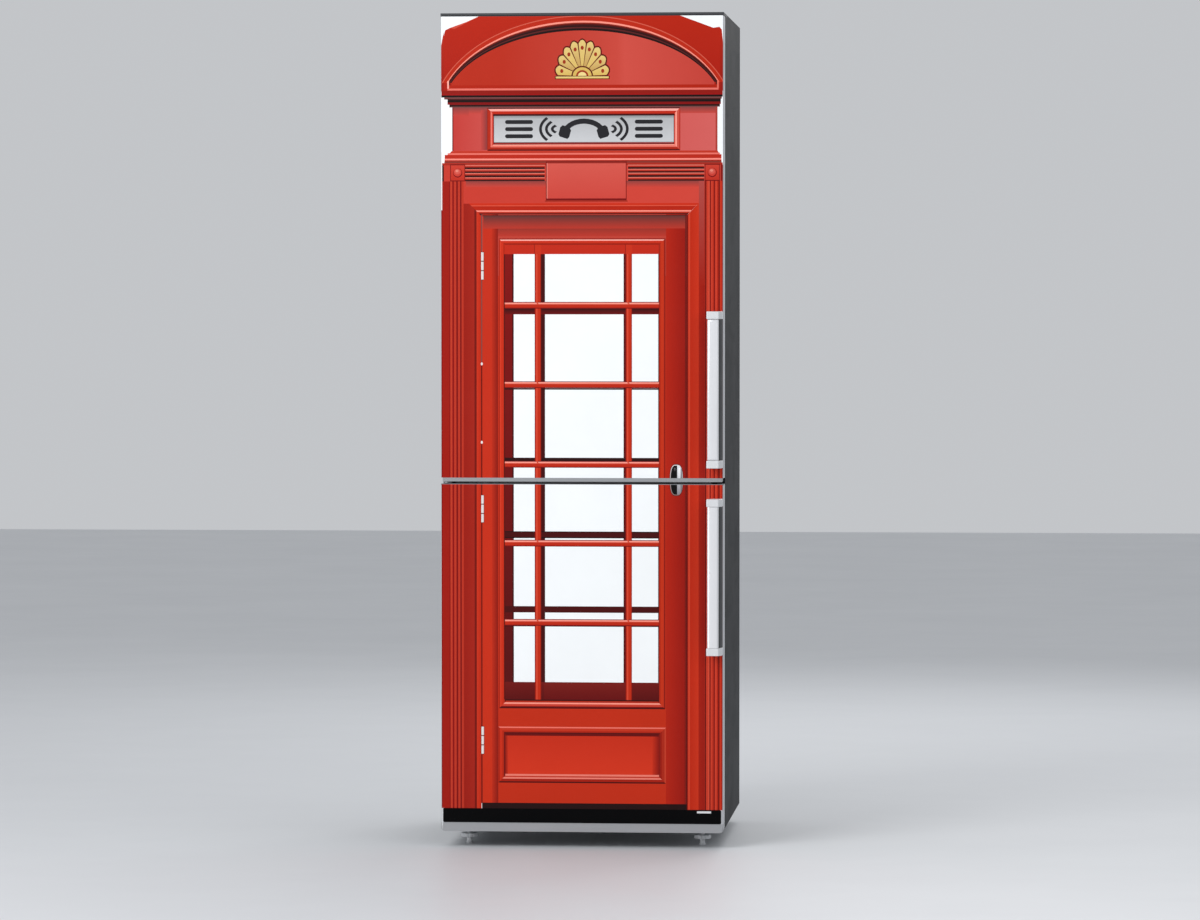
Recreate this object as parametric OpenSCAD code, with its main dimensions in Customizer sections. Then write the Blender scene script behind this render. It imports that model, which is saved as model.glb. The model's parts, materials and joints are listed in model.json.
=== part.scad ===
// Free-standing fridge-freezer: a fridge compartment above, a freezer below, one hinged door to each.
// Frame: +Z up, doors facing -Y, hinges at -X; the origin is on the floor, under the middle of the whole.

/* [Body] */
// Overall width of the cabinet and of both doors
body_w = 600; // [540:5:720]
// Overall height, floor to top
body_h = 1767; // [1465:2:2125]
// Depth of the cabinet, front frame to back panel
cabinet_d = 552; // [500:2:680]
// Thickness of the steel sheet of cabinet and doors
sheet = 1; // [0.8:0.1:1.4]
// Thickness of the plastic liners
liner_t = 2; // [1.5:0.25:3]
// Insulated side wall beside the fridge compartment, sheet and liner included
fridge_wall = 42; // [34:1:52]
// Insulated side wall beside the freezer compartment, sheet and liner included
freezer_wall = 50; // [40:1:60]
// Insulated roof above the fridge compartment
roof_wall = 48; // [38:1:60]
// Insulated wall between the two compartments
middle_wall = 72; // [60:1:90]
// Insulated floor under the freezer compartment
floor_wall = 79; // [60:1:95]
// Insulated wall behind the fridge compartment
fridge_rear = 80; // [64:1:100]
// Insulated wall behind the freezer compartment
freezer_rear = 110; // [100:1:140]
// Space that the spacers keep free behind the back panel
rear_space = 34; // [28:1:45]

/* [Doors] */
// Height of the lower door's top edge above the floor
lower_top = 772; // [642:5:927]
// Thickness of a door, skin to liner
door_t = 52; // [44:1:64]
// Thickness of the magnetic gasket
gasket_t = 10; // [9:0.5:14]
// Gap between the two doors
door_gap = 5; // [5:0.5:9]
// Bend radius of a door's front edges
door_corner = 4; // [2:0.5:8]
// Thickness of the printed film on the doors
film_t = 0.3; // [0.2:0.05:0.6]
// Height of the bright sill under the upper door
upper_sill_h = 8; // [6:1:14]
// Height of the bright sill under the lower door
lower_sill_h = 19; // [15:1:28]
// Height of the black strip above the lower sill
plinth_h = 30; // [20:1:45]
// Height of the bottle rack, the lowest and tallest of the three
bottle_rack_h = 95; // [70:1:110]

/* [Hinges] */
// Distance of the hinge axis from the door's side edge
hinge_in_x = 14; // [13:0.5:18]
// Distance of the hinge axis behind the door's front face
hinge_in_y = 30; // [26:0.5:32]
// Radius of the hinge pins
pin_r = 4; // [3:0.25:5]
// Radial clearance of a pin or shaft that turns in its hole
run_gap = 0.06; // [0.03:0.01:0.09]

/* [Handles] */
// Length of a handle, end to end
handle_len = 330; // [240:5:420]
// Width of the handle bar
bar_w = 24; // [18:1:28]
// Thickness of the handle bar
bar_t = 14; // [10:1:18]
// How far a handle stands out from the door
handle_reach = 45; // [36:1:60]
// Gap in height between each handle and the edge of its door nearest the other door
handle_edge = 30; // [20:1:60]

/* [Interior] */
// Number of glass shelves in the fridge compartment
shelf_count = 4; // [3:1:5]
// Thickness of shelf glass
glass_t = 4; // [3:0.5:6]
// Height of the crisper drawer
crisper_h = 178; // [140:1:200]
// Wall of drawers and racks
tub_wall = 2.5; // [2:0.25:4]

/* [Base] */
// Height of the lower door's bottom edge above the floor
foot_h = 34; // [31:1:40]
// Height of the compressor bay
bay_h = 220; // [205:1:250]
// Depth of the compressor bay
bay_d = 230; // [210:1:260]
// Distance of the feet and rollers from the middle
foot_x = 250; // [200:1:256]
// Radius of the foot's adjusting disc
disc_r = 18.5; // [14:0.5:22]
// Radius of the foot's threaded stud
stud_r = 5; // [4:0.5:6]
// Radius of a rear roller
roller_r = 17; // [13:0.5:17]

/* [Cooling] */
// Number of horizontal runs of the condenser
condenser_runs = 15; // [11:2:19]
// Distance between the condenser's runs
condenser_pitch = 68; // [50:1:74]
// Radius of the condenser's tube
condenser_r = 2.5; // [2:0.25:3]
// Radius of the freezer's evaporator tube
evaporator_r = 3.5; // [3:0.25:4]
// Radius of the compressor's can
can_r = 74; // [60:1:80]

/* [Hidden] */
$fn = 48;

dark = "#3a3c40";
silver = "#c9cbce";
white = "#eceeee";
clear = "#bfd8e2";
red = "#b92a1b";
black = "#151517";
copper = "#b0683c";
foam_yellow = "#d8c070";
grey = "#8d9094";

e = 1;                                   // overshoot of a cut
half_w = body_w / 2;
total_d = handle_reach + door_t + gasket_t + cabinet_d + rear_space;
y_door = -total_d / 2 + handle_reach;    // front face of the door skins
y_rear = y_door + door_t;                // rear face of the door liners
y_cab = y_rear + gasket_t;               // front frame of the cabinet
y_back = y_cab + cabinet_d;              // back panel
step_h = 5;                              // the top panel rises by this behind the hinge plate
z_shell = body_h - step_h;               // top of the side panels
z_base = max(foot_h + 4, 2 * roller_r + 3);  // underside of the base tray, clear of the rollers
tray_t = 1.2;
hinge_plate_d = 60;                      // how far hinge plates reach back over the cabinet
plate_t = 3;
flange = 30;                             // front flange of the side panels
lip = 12;                                // liner flange beyond its cavity

// compartments
fridge_hw = half_w - fridge_wall;
fridge_z0 = lower_top + 40;
fridge_z1 = z_shell - roof_wall;
fridge_d = cabinet_d - fridge_rear;
freezer_hw = half_w - freezer_wall;
freezer_z0 = z_base + floor_wall;
freezer_z1 = fridge_z0 - middle_wall;
freezer_d = cabinet_d - freezer_rear;
bay_wall = 45;
bay_z1 = z_base + bay_h;
hump_z = bay_z1 + bay_wall;              // floor of the freezer above the compressor bay
hump_y = y_back - bay_d - bay_wall;      // front of that step
drain_x = 60;
drain_y = y_cab + fridge_d - 14;
drain_r = 8;

// doors
lower_z0 = foot_h;
lower_z1 = lower_top;
upper_z0 = lower_top + door_gap;
upper_z1 = z_shell - 1;
cap_lip = 2;
cap_plug = 20;
hinge_x = -half_w + hinge_in_x;
hinge_y = y_door + hinge_in_y;
boss_r = 12;
pin_len = 18;
bore_spare = 2;                          // a hinge bore is this much deeper than its pin
dyke_w = 22;
dyke_gap = 8;                            // between a dyke and the cavity above and below
upper_dyke = 40;
lower_dyke = 18;
dyke_hw = freezer_hw - 14;
gasket_w = 14;
gasket_hw = -hinge_x - 2;                // keeps the gasket on the free side of the hinge axis
gasket_edge = 12;
sill_inset = 4;
recess_w = 85;
recess_front = 3;
recess_top = z_base + 1.5;               // the sill is hollowed up to here for the hinge plate
plinth_t = 1.2;

// racks on the upper door
rack_d = 98;
rack_hw = dyke_hw - dyke_w - 0.5;
rack_h = 62;
ledge = 5;
fridge_h = fridge_z1 - fridge_z0;
rack_z = [fridge_z0 + dyke_gap + dyke_w, fridge_z0 + fridge_h * 0.44, fridge_z0 + fridge_h * 0.76];
rack_heights = [bottle_rack_h, 70, rack_h];
dairy_r = 3;
dairy_y = y_rear + 6;
dairy_z = rack_z[2] + rack_h + 6;
dairy_reach = 85.5;

// shelves and drawers
front_clear = 96;                        // shelf fronts stand this far inside the front frame
shelf_y0 = y_cab + front_clear;
shelf_d = fridge_d - front_clear - 30;
crisper_z = fridge_z0 + crisper_h + 8;
shelf_pitch = (fridge_z1 - crisper_z) / (shelf_count + 1);
shelf_ledge = 8;
trim_h = 14;
crisper_y0 = y_cab + 106;
drawer_y0 = y_cab + 30;
level_1 = hump_z + evaporator_r + 4.5;
level_2 = level_1 + (freezer_z1 - level_1) / 2;
ledge_top = 8;                           // a drawer rests this far above its evaporator's level
drawer_gap = 3;

// control box
box_w = 240;
box_d = 180;
box_h = 38;
box_y0 = y_cab + 112;
knob_x = -70;
knob_z = fridge_z1 - box_h / 2;
shaft_r = 3;
switch_x = dyke_hw - dyke_w / 2;
switch_z = fridge_z1 - 27;
plunger_r = 4;
plunger_tip = y_rear + upper_dyke + 0.4;
boss_y0 = plunger_tip + 14;

// condenser
condenser_y = y_back + rear_space / 2;
condenser_hl = half_w - 104;
condenser_z0 = bay_z1 + 70;
wire_r = 0.8;
wire_pitch = 22;
wire_count = 2 * floor((condenser_hl - 6) / wire_pitch);
clip_x = wire_pitch * (floor(condenser_hl / wire_pitch) - 1);
compressor_x = 70;
compressor_y = y_back - bay_d / 2;
grommet_h = 12;
can_z0 = z_base + tray_t + grommet_h + plate_t;
can_h = 140;
gland_x = -200;
gland_y0 = y_back - 30;
gland_z = z_base + tray_t + 24;
foot_y = y_cab + 38;
roller_y = y_back - 50;
roller_w = 22;
axle_r = 2.5;
cheek_t = 2;
stud_top = z_base + 28;
disc_z0 = 12.5;                          // the foot's adjusting disc lies between these heights
disc_z1 = 21;
neck_r = 5.6;

// ---------- shared shapes ----------

// A box between two corners.
module span(a, b) {
    translate(a) cube(b - a);
}

// A rectangle with round corners, centred.
module round_rect(w, h, r) {
    square([w - 2 * r, h], center = true);
    square([w, h - 2 * r], center = true);
    for (sx = [-1, 1], sy = [-1, 1])
        translate([sx * (w / 2 - r), sy * (h / 2 - r)]) circle(r);
}

// Outline of a door seen from above, its front corners bent, drawn in by inset.
module door_outline(inset = 0, rear = 0) {
    translate([-half_w + inset, y_door + door_corner])
        square([body_w - 2 * inset, door_t - door_corner - rear]);
    translate([-half_w + door_corner, y_door + inset])
        square([body_w - 2 * door_corner, door_corner]);
    for (side = [-1, 1])
        translate([side * (half_w - door_corner), y_door + door_corner]) circle(door_corner - inset);
}

// A rectangular ring that stands up along Y: outer half width hw, band width w.
module ring(hw, z0, z1, w, ya, yb) {
    difference() {
        span([-hw, ya, z0], [hw, yb, z1]);
        span([-hw + w, ya - e, z0 + w], [hw - w, yb + e, z1 - w]);
    }
}

// A tube laid to and fro in the XY plane: n runs along X, the first at y = 0.
module serpentine(n, half_len, pitch, r) {
    for (i = [0 : n - 1])
        translate([-half_len, i * pitch, 0]) rotate([0, 90, 0]) cylinder(r = r, h = 2 * half_len);
    for (i = [0 : n - 2]) {
        side = i % 2 == 0 ? 1 : -1;
        translate([side * half_len, (i + 0.5) * pitch, 0])
            rotate([0, 0, side == 1 ? -90 : 90])
                rotate_extrude(angle = 180) translate([pitch / 2, 0]) circle(r);
    }
}

// The turn that lays a cylinder along d, which runs along one of the axes.
function axis_turn(d) =
    abs(d.x) > 0 ? [0, d.x > 0 ? 90 : -90, 0] :
    abs(d.y) > 0 ? [d.y > 0 ? -90 : 90, 0, 0] :
    [d.z > 0 ? 0 : 180, 0, 0];

// A tube through points whose legs run along the axes, with ball corners.
module tube_path(points, r) {
    for (i = [0 : len(points) - 2]) {
        a = points[i];
        b = points[i + 1];
        d = b - a;
        translate(a) rotate(axis_turn(d)) cylinder(r = r, h = norm(d));
        if (i > 0) translate(a) sphere(r);
    }
}

// An open tub, its floor at z0, its front wall raised by front_up.
module tub(hw, ya, yb, z0, z1, wall, front_up = 0, front_t = 0) {
    difference() {
        span([-hw, ya, z0], [hw, yb, z1]);
        span([-hw + wall, ya + wall, z0 + wall], [hw - wall, yb - wall, z1 + e]);
    }
    if (front_t > 0) span([-hw, ya - front_t, z0], [hw, ya, z1 + front_up]);
}

// ---------- cabinet ----------

module side_panel(side) {
    color(dark) mirror([side == 1 ? 0 : 1, 0, 0]) {
        span([half_w - sheet, y_cab, z_base], [half_w, y_back, z_shell]);
        span([half_w - flange, y_cab, z_base], [half_w, y_cab + sheet, z_shell]);
        span([half_w - 15, y_back - sheet, bay_z1], [half_w, y_back, z_shell - sheet]);
    }
}

module top_panel() {
    step_y = y_cab + hinge_plate_d;
    color(dark) {
        span([-half_w + sheet, y_cab + sheet, z_shell - sheet],
             [half_w - sheet, step_y + 2 * sheet, z_shell]);
        span([-half_w + flange, y_cab, fridge_z1 + lip], [half_w - flange, y_cab + sheet, z_shell]);
        difference() {
            span([-half_w, step_y, z_shell], [half_w, y_back, body_h]);
            span([-half_w + 2 * sheet, step_y + sheet, z_shell - e],
                 [half_w - 2 * sheet, y_back - sheet, body_h - sheet]);
        }
    }
}

module top_trim() {
    color(dark) difference() {
        span([-half_w, y_door + 1.5, z_shell], [half_w, y_cab + hinge_plate_d, body_h]);
        translate([0, 0, z_shell - e]) linear_extrude(plate_t + e + 0.3) hinge_outline(0.5);
        for (p = hinge_screw_points)
            translate([p.x, p.y, z_shell - e]) cylinder(r = 5.5, h = step_h - 0.8 + e);
    }
}

module back_panel() {
    color(grey) {
        span([-half_w + 15, y_back - sheet, bay_z1], [half_w - 15, y_back, z_shell - sheet]);
        for (i = [-2 : 2])
            span([i * clip_x / 3 - 6, y_back - sheet, bay_z1 + 40],
                 [i * clip_x / 3 + 6, y_back + 2, z_shell - 60]);
    }
}

module base_tray() {
    color(grey) difference() {
        union() {
            span([-half_w + sheet, y_cab + tray_t, z_base], [half_w - sheet, y_back, z_base + tray_t]);
            span([-half_w + flange, y_cab, z_base], [half_w - flange, y_cab + tray_t, freezer_z0 - lip]);
            for (side = [-1, 1]) {
                translate([side * foot_x, foot_y, z_base]) cylinder(r = stud_r + 4, h = 18);
                for (cheek = [-1, 1])
                    translate([side * foot_x + cheek * (roller_w / 2 + 0.5 + cheek_t / 2), roller_y, 0])
                        span([-cheek_t / 2, -12, roller_r - 6], [cheek_t / 2, 12, z_base + tray_t / 2]);
            }
        }
        for (side = [-1, 1]) {
            translate([side * foot_x, foot_y, z_base - e]) cylinder(r = stud_r + run_gap, h = 22);
            translate([side * foot_x - roller_w, roller_y, roller_r])
                rotate([0, 90, 0]) cylinder(r = axle_r + run_gap, h = 2 * roller_w);
        }
    }
}

module centre_rail() {
    z0 = freezer_z1 + lip;
    z1 = fridge_z0 - lip;
    color(silver) difference() {
        span([-half_w + flange, y_cab, z0], [half_w - flange, y_cab + lip, z1]);
        span([-half_w + flange - e, y_cab + sheet, z0 + sheet],
             [half_w - flange + e, y_cab + lip + e, z1 - sheet]);
    }
}

module fridge_space(grow = 0) {
    span([-fridge_hw - grow, y_cab - e, fridge_z0 - grow],
         [fridge_hw + grow, y_cab + fridge_d + grow, fridge_z1 + grow]);
}

module freezer_space(grow = 0) {
    span([-freezer_hw - grow, y_cab - e, hump_z - grow],
         [freezer_hw + grow, y_cab + freezer_d + grow, freezer_z1 + grow]);
    span([-freezer_hw - grow, y_cab - e, freezer_z0 - grow],
         [freezer_hw + grow, hump_y + grow, hump_z + grow]);
}

module cabinet_foam() {
    front = y_cab + liner_t;
    side = half_w - sheet;
    color(foam_yellow) difference() {
        union() {
            span([-side, front, z_base + tray_t], [side, y_back - sheet, z_shell - sheet]);
            span([-side + sheet, y_cab + hinge_plate_d + 2 * sheet, z_shell - 2 * sheet],
                 [side - sheet, y_back - sheet, body_h - sheet]);
        }
        fridge_space(liner_t);
        freezer_space(liner_t);
        span([-side - e, y_back - bay_d, z_base], [side + e, y_back + e, bay_z1]);
        span([-half_w + flange, y_cab, freezer_z1 + lip],
             [half_w - flange, y_cab + lip, fridge_z0 - lip]);
        translate([drain_x, drain_y, bay_z1 - e]) cylinder(r = drain_r, h = fridge_z0 - bay_z1);
        for (side_x = [-1, 1])
            translate([side_x * foot_x, foot_y, z_base]) cylinder(r = stud_r + 5, h = 34);
    }
}

module fridge_liner() {
    color(white) difference() {
        union() {
            difference() {
                union() {
                    span([-half_w + flange, y_cab, fridge_z0 - lip],
                         [half_w - flange, y_cab + liner_t, fridge_z1 + lip]);
                    span([-fridge_hw - liner_t, y_cab, fridge_z0 - liner_t],
                         [fridge_hw + liner_t, y_cab + fridge_d + liner_t, fridge_z1 + liner_t]);
                }
                fridge_space();
            }
            for (i = [0 : shelf_count], side = [-1, 1]) {
                z = crisper_z + i * shelf_pitch;
                mirror([side == 1 ? 0 : 1, 0, 0])
                    span([fridge_hw - shelf_ledge, shelf_y0 + 5, z - 6],
                         [fridge_hw + liner_t / 2, shelf_y0 + shelf_d, z]);
            }
            span([switch_x - 11, boss_y0, switch_z - 15],
                 [fridge_hw + liner_t / 2, boss_y0 + 36, switch_z + 15]);
        }
        translate([drain_x, drain_y, fridge_z0 - 2 * liner_t])
            cylinder(r = drain_r - 2, h = 4 * liner_t);
        translate([switch_x, boss_y0 - e, switch_z]) rotate([-90, 0, 0])
            cylinder(r = plunger_r + run_gap, h = 32);
    }
}

module freezer_liner() {
    color(white) {
        difference() {
            union() {
                span([-half_w + flange, y_cab, freezer_z0 - lip],
                     [half_w - flange, y_cab + liner_t, freezer_z1 + lip]);
                span([-freezer_hw - liner_t, y_cab, hump_z - liner_t],
                     [freezer_hw + liner_t, y_cab + freezer_d + liner_t, freezer_z1 + liner_t]);
                span([-freezer_hw - liner_t, y_cab, freezer_z0 - liner_t],
                     [freezer_hw + liner_t, hump_y + liner_t, hump_z + liner_t]);
            }
            freezer_space();
        }
        for (z = [level_1, level_2], side = [-1, 1])
            mirror([side == 1 ? 0 : 1, 0, 0])
                span([freezer_hw - 7, drawer_y0 + 8, z - 6],
                     [freezer_hw + liner_t / 2, y_cab + freezer_d - 8, z + ledge_top]);
    }
}

// ---------- hinges and fasteners ----------

hinge_screw_points = [[hinge_x + 14, y_cab + 22], [hinge_x + 44, y_cab + 22]];

// The plate of a hinge, seen from above: a round boss on the axis and a foot on the cabinet.
module hinge_outline(grow = 0) {
    translate([hinge_x, hinge_y]) circle(boss_r + grow);
    translate([hinge_x - boss_r - grow, hinge_y])
        square([2 * boss_r + 2 * grow, y_cab + hinge_plate_d - 4 - hinge_y + grow]);
    translate([hinge_x - boss_r - grow, y_cab + 2 - grow])
        square([78 + 2 * grow, hinge_plate_d - 6 + 2 * grow]);
}

module top_hinge() {
    color(grey) {
        difference() {
            translate([0, 0, z_shell]) linear_extrude(plate_t) hinge_outline();
            for (p = hinge_screw_points) translate([p.x, p.y, z_shell - e])
                cylinder(r = 3.2, h = plate_t + 2 * e);
        }
        translate([hinge_x, hinge_y, z_shell - pin_len]) cylinder(r = pin_r, h = pin_len + plate_t);
    }
}

module middle_hinge() {
    z0 = lower_top + (door_gap - plate_t) / 2;
    color(grey) {
        difference() {
            union() {
                translate([hinge_x, hinge_y, z0]) cylinder(r = boss_r, h = plate_t);
                span([hinge_x - boss_r, hinge_y, z0], [hinge_x + boss_r, y_cab, z0 + plate_t]);
                span([hinge_x - boss_r, y_cab - plate_t, z0 - 11], [hinge_x + 60, y_cab, z0 + 14]);
            }
            for (x = middle_screw_x)
                translate([x, y_cab - plate_t - e, lower_top + door_gap / 2])
                    rotate([-90, 0, 0]) cylinder(r = 2.6, h = plate_t + 2 * e);
        }
        translate([hinge_x, hinge_y, z0 - pin_len]) cylinder(r = pin_r, h = 2 * pin_len + plate_t);
    }
}

middle_screw_x = [hinge_x + 24, hinge_x + 48];

module bottom_hinge() {
    color(grey) {
        difference() {
            translate([0, 0, z_base - plate_t]) linear_extrude(plate_t) hinge_outline();
            translate([-foot_x, foot_y, z_base - plate_t - e])
                cylinder(r = stud_r + 1, h = plate_t + 2 * e);
        }
        translate([hinge_x, hinge_y, z_base - plate_t]) cylinder(r = pin_r, h = pin_len + plate_t);
    }
}

module hinge_brackets() {
    top_hinge();
    middle_hinge();
    bottom_hinge();
}

// A pan-head screw, head up, its seat at z = 0.
module screw(r, head_r, head_h, length) {
    difference() {
        cylinder(r = head_r, h = head_h);
        translate([-head_r * 0.55, -0.4, head_h - 0.8]) cube([head_r * 1.1, 0.8, e]);
    }
    translate([0, 0, -length]) cylinder(r = r, h = length + 0.2);
}

compressor_feet = [for (sx = [-1, 1], sy = [-1, 1]) [compressor_x + sx * 82, compressor_y + sy * 52]];

module screws() {
    color(silver) {
        for (p = hinge_screw_points) translate([p.x, p.y, z_shell + plate_t]) screw(3, 5, 1, plate_t);
        for (x = middle_screw_x)
            translate([x, y_cab - plate_t, lower_top + door_gap / 2]) rotate([90, 0, 0])
                screw(2.5, 4.5, 1.8, plate_t);
        for (p = compressor_feet)
            translate([p.x, p.y, z_base + tray_t + grommet_h + 2]) screw(3.5, 7, 3, grommet_h + 2);
    }
}

// ---------- cooling ----------

// The compressor's can as it is turned: a lower pan, a welded seam and a domed lid.
function can_profile(r, h) = concat(
    [[0, 0], [r * 0.7, 0]],
    [for (a = [-90 : 15 : 0]) [r * 0.86 + r * 0.14 * cos(a), r * 0.14 + r * 0.14 * sin(a)]],
    [[r, h * 0.42], [r + 5, h * 0.42], [r + 5, h * 0.46], [r, h * 0.46]],
    [for (a = [0 : 10 : 90]) [r * 0.45 + r * 0.55 * cos(a), h - r * 0.42 + r * 0.42 * sin(a)]],
    [[0, h]]);

module compressor() {
    color(black) {
        translate([compressor_x, compressor_y, can_z0]) {
            difference() {
                rotate_extrude() polygon(can_profile(can_r, can_h));
                translate([0, 0, plate_t + 1]) rotate_extrude()
                    polygon(can_profile(can_r - 6, can_h - 2 * plate_t - 2));
            }
            translate([0, 0, plate_t + 1]) cylinder(r = can_r * 0.55, h = can_h * 0.6);
        }
        difference() {
            span([compressor_x - 92, compressor_y - 62, can_z0 - 4],
                 [compressor_x + 92, compressor_y + 62, can_z0]);
            for (p = compressor_feet) translate([p.x, p.y, can_z0 - 4 - e])
                cylinder(r = 8, h = 4 + 2 * e);
        }
        span([compressor_x - can_r - 30, compressor_y - 26, can_z0 + 12],
             [compressor_x - can_r + 5.5, compressor_y + 26, can_z0 + 72]);
    }
}

module compressor_grommets() {
    color(black) for (p = compressor_feet)
        translate([p.x, p.y, z_base + tray_t]) difference() {
            union() {
                cylinder(r = 12, h = can_z0 - 4 - z_base - tray_t);
                cylinder(r = 8, h = grommet_h + 2);
            }
            translate([0, 0, -e]) cylinder(r = 3.6, h = grommet_h + 4);
        }
}

tray_floor = can_z0 + can_h;

module evaporation_tray() {
    color(white) difference() {
        span([compressor_x - 85, compressor_y - 60, tray_floor],
             [compressor_x + 85, compressor_y + 66, tray_floor + 26]);
        span([compressor_x - 83, compressor_y - 58, tray_floor + 2],
             [compressor_x + 83, compressor_y + 64, tray_floor + 28]);
    }
}

condenser_z1 = condenser_z0 + (condenser_runs - 1) * condenser_pitch;

module condenser() {
    color(black) {
        translate([0, condenser_y, condenser_z0]) rotate([90, 0, 0])
            serpentine(condenser_runs, condenser_hl, condenser_pitch, condenser_r);
        for (i = [0 : wire_count - 1], side = [-1, 1])
            translate([(i - (wire_count - 1) / 2) * wire_pitch,
                       condenser_y + side * (condenser_r + wire_r), condenser_z0 - 14])
                cylinder(r = wire_r, h = condenser_z1 - condenser_z0 + 28, $fn = 16);
    }
}

module rear_spacers() {
    color(black) for (side = [-1, 1], run = [1, condenser_runs - 2]) {
        z = condenser_z0 + run * condenser_pitch;
        translate([side * clip_x, 0, 0]) difference() {
            span([-8, y_back, z - 12], [8, y_back + rear_space, z + 12]);
            translate([-8 - e, condenser_y, z]) rotate([0, 90, 0])
                cylinder(r = condenser_r + 0.1, h = 16 + 2 * e);
        }
    }
}

module refrigerant_pipes() {
    side = condenser_hl + condenser_pitch / 2 + 14;
    start = [compressor_x + can_r, compressor_y, can_z0 + 34];
    top_z = condenser_z1;
    low = [-condenser_hl, condenser_y, condenser_z0];
    drier = [-150, y_back - 40, bay_z1 - 60];
    color(copper) {
        tube_path([start, [side, start.y, start.z], [side, condenser_y, start.z],
                   [side, condenser_y, top_z],
                   [condenser_hl + 0.5, condenser_y, top_z]], 3);
        tube_path([[low.x - 0.5, low.y, low.z], [low.x - 34, low.y, low.z],
                   [low.x - 34, low.y, drier.z],
                   [low.x - 34, drier.y, drier.z], [drier.x - 45, drier.y, drier.z]], 3);
        translate([drier.x - 45, drier.y, drier.z]) rotate([0, 90, 0]) cylinder(r = 10, h = 90);
        tube_path([[drier.x + 45, drier.y, drier.z], [drier.x + 80, drier.y, drier.z],
                   [drier.x + 80, drier.y, bay_z1]], 2);
        tube_path([[compressor_x, compressor_y + can_r, can_z0 + 46],
                   [compressor_x, y_back - 22, can_z0 + 46],
                   [compressor_x, y_back - 22, bay_z1]], 3.5);
    }
}

module drain_pipe() {
    color(white) translate([drain_x, drain_y, tray_floor + 30]) difference() {
        cylinder(r = drain_r, h = fridge_z0 - liner_t - tray_floor - 30);
        translate([0, 0, -e]) cylinder(r = drain_r - 1.5, h = fridge_z0 - tray_floor);
    }
}

module mains_gland() {
    color(black) difference() {
        union() {
            span([gland_x - 18, gland_y0, z_base + tray_t], [gland_x + 18, gland_y0 + 6, gland_z + 16]);
            translate([gland_x, gland_y0, gland_z]) rotate([-90, 0, 0]) {
                cylinder(r = 12, h = 12);
                cylinder(r = 8, h = 26);
            }
        }
        translate([gland_x, gland_y0 + 2, gland_z]) rotate([-90, 0, 0]) cylinder(r = 3.6, h = 26);
    }
}

// ---------- fridge compartment ----------

module control_box() {
    color(white) difference() {
        span([-box_w / 2, box_y0, fridge_z1 - box_h], [box_w / 2, box_y0 + box_d, fridge_z1]);
        span([-box_w / 2 + 2, box_y0 + 2, fridge_z1 - box_h + 2],
             [box_w / 2 - 2, box_y0 + box_d - 2, fridge_z1 + e]);
        translate([knob_x, box_y0 - e, knob_z]) rotate([-90, 0, 0])
            cylinder(r = shaft_r + run_gap, h = 4);
    }
}

module thermostat_knob() {
    color(grey) translate([knob_x, box_y0 - 12.3, knob_z]) rotate([-90, 0, 0]) {
        difference() {
            cylinder(r = 15, h = 12);
            for (a = [0 : 30 : 330]) rotate(a) translate([15.6, 0, -e])
                cylinder(r = 1.6, h = 12 + 2 * e, $fn = 24);
            translate([-1, -13, -e]) cube([2, 9, e + 1]);
        }
        cylinder(r = shaft_r, h = 24);
    }
}

module lamp_lens() {
    color(clear) span([-10, box_y0 - 5, fridge_z1 - box_h + 6], [box_w / 2 - 10, box_y0, fridge_z1 - 6]);
}

module door_switch() {
    color(white) translate([switch_x, plunger_tip, switch_z]) rotate([-90, 0, 0])
        cylinder(r = plunger_r, h = 40);
}

function shelf_z(i) = crisper_z + i * shelf_pitch;

module pane(z) {
    span([-fridge_hw + 1, shelf_y0 + 4, z], [fridge_hw - 1, shelf_y0 + shelf_d, z + glass_t]);
}

module pane_trim(z) {
    w = fridge_hw - shelf_ledge - 1;
    difference() {
        span([-w, shelf_y0, z - 5], [w, shelf_y0 + 16, z - 5 + trim_h]);
        pane(z);
    }
    span([-w, shelf_y0 + shelf_d - 8, z + glass_t], [w, shelf_y0 + shelf_d - 4, z + glass_t + 14]);
}

module shelf_panes() {
    color(clear) for (i = [0 : shelf_count]) pane(shelf_z(i));
}

module shelf_trims() {
    color(white) for (i = [0 : shelf_count]) pane_trim(shelf_z(i));
}

// A drawer: a tub with a thicker front that has a finger notch in its top edge.
module drawer(hw, ya, yb, z0, z1) {
    difference() {
        tub(hw, ya + 6, yb, z0, z1 - 12, tub_wall, 12, 6);
        span([-50, ya - e, z1 - 20], [50, ya + 12, z1 + e]);
    }
}

module crisper(side) {
    hw = (fridge_hw - 1.5 * drawer_gap) / 2;
    color(clear) translate([side * (fridge_hw - drawer_gap - hw), 0, 0])
        drawer(hw, crisper_y0, y_cab + fridge_d - 40, fridge_z0, fridge_z0 + crisper_h - 4);
}

// ---------- freezer compartment ----------

module evaporator_shelves() {
    pitch = 44;
    runs = floor((freezer_d - 80) / pitch);
    half_len = freezer_hw - 7.3 - pitch / 2 - evaporator_r;
    color(silver) for (z = [level_1, level_2])
        translate([0, y_cab + 60, z]) serpentine(runs, half_len, pitch, evaporator_r);
}

module freezer_drawer(z0, z1, rear) {
    color(clear) drawer(freezer_hw - drawer_gap, drawer_y0, rear, z0, z1);
}

// ---------- what the cabinet stands on ----------

module foot(side) {
    color(silver) translate([side * foot_x, foot_y, 0]) difference() {
        rotate_extrude() polygon([[0, 0], [7, 0], [7, 1.5], [neck_r, 3], [neck_r, disc_z0 - 2],
            [neck_r + 3, disc_z0], [disc_r - 1, disc_z0], [disc_r, disc_z0 + 1], [disc_r, disc_z1 - 1.5],
            [disc_r - 1.5, disc_z1], [stud_r, disc_z1], [stud_r, stud_top], [0, stud_top]]);
        for (a = [0 : 30 : 330])
            rotate(a) translate([disc_r + 1, 0, disc_z0 - e]) cylinder(r = 2, h = disc_z1, $fn = 24);
    }
}

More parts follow.
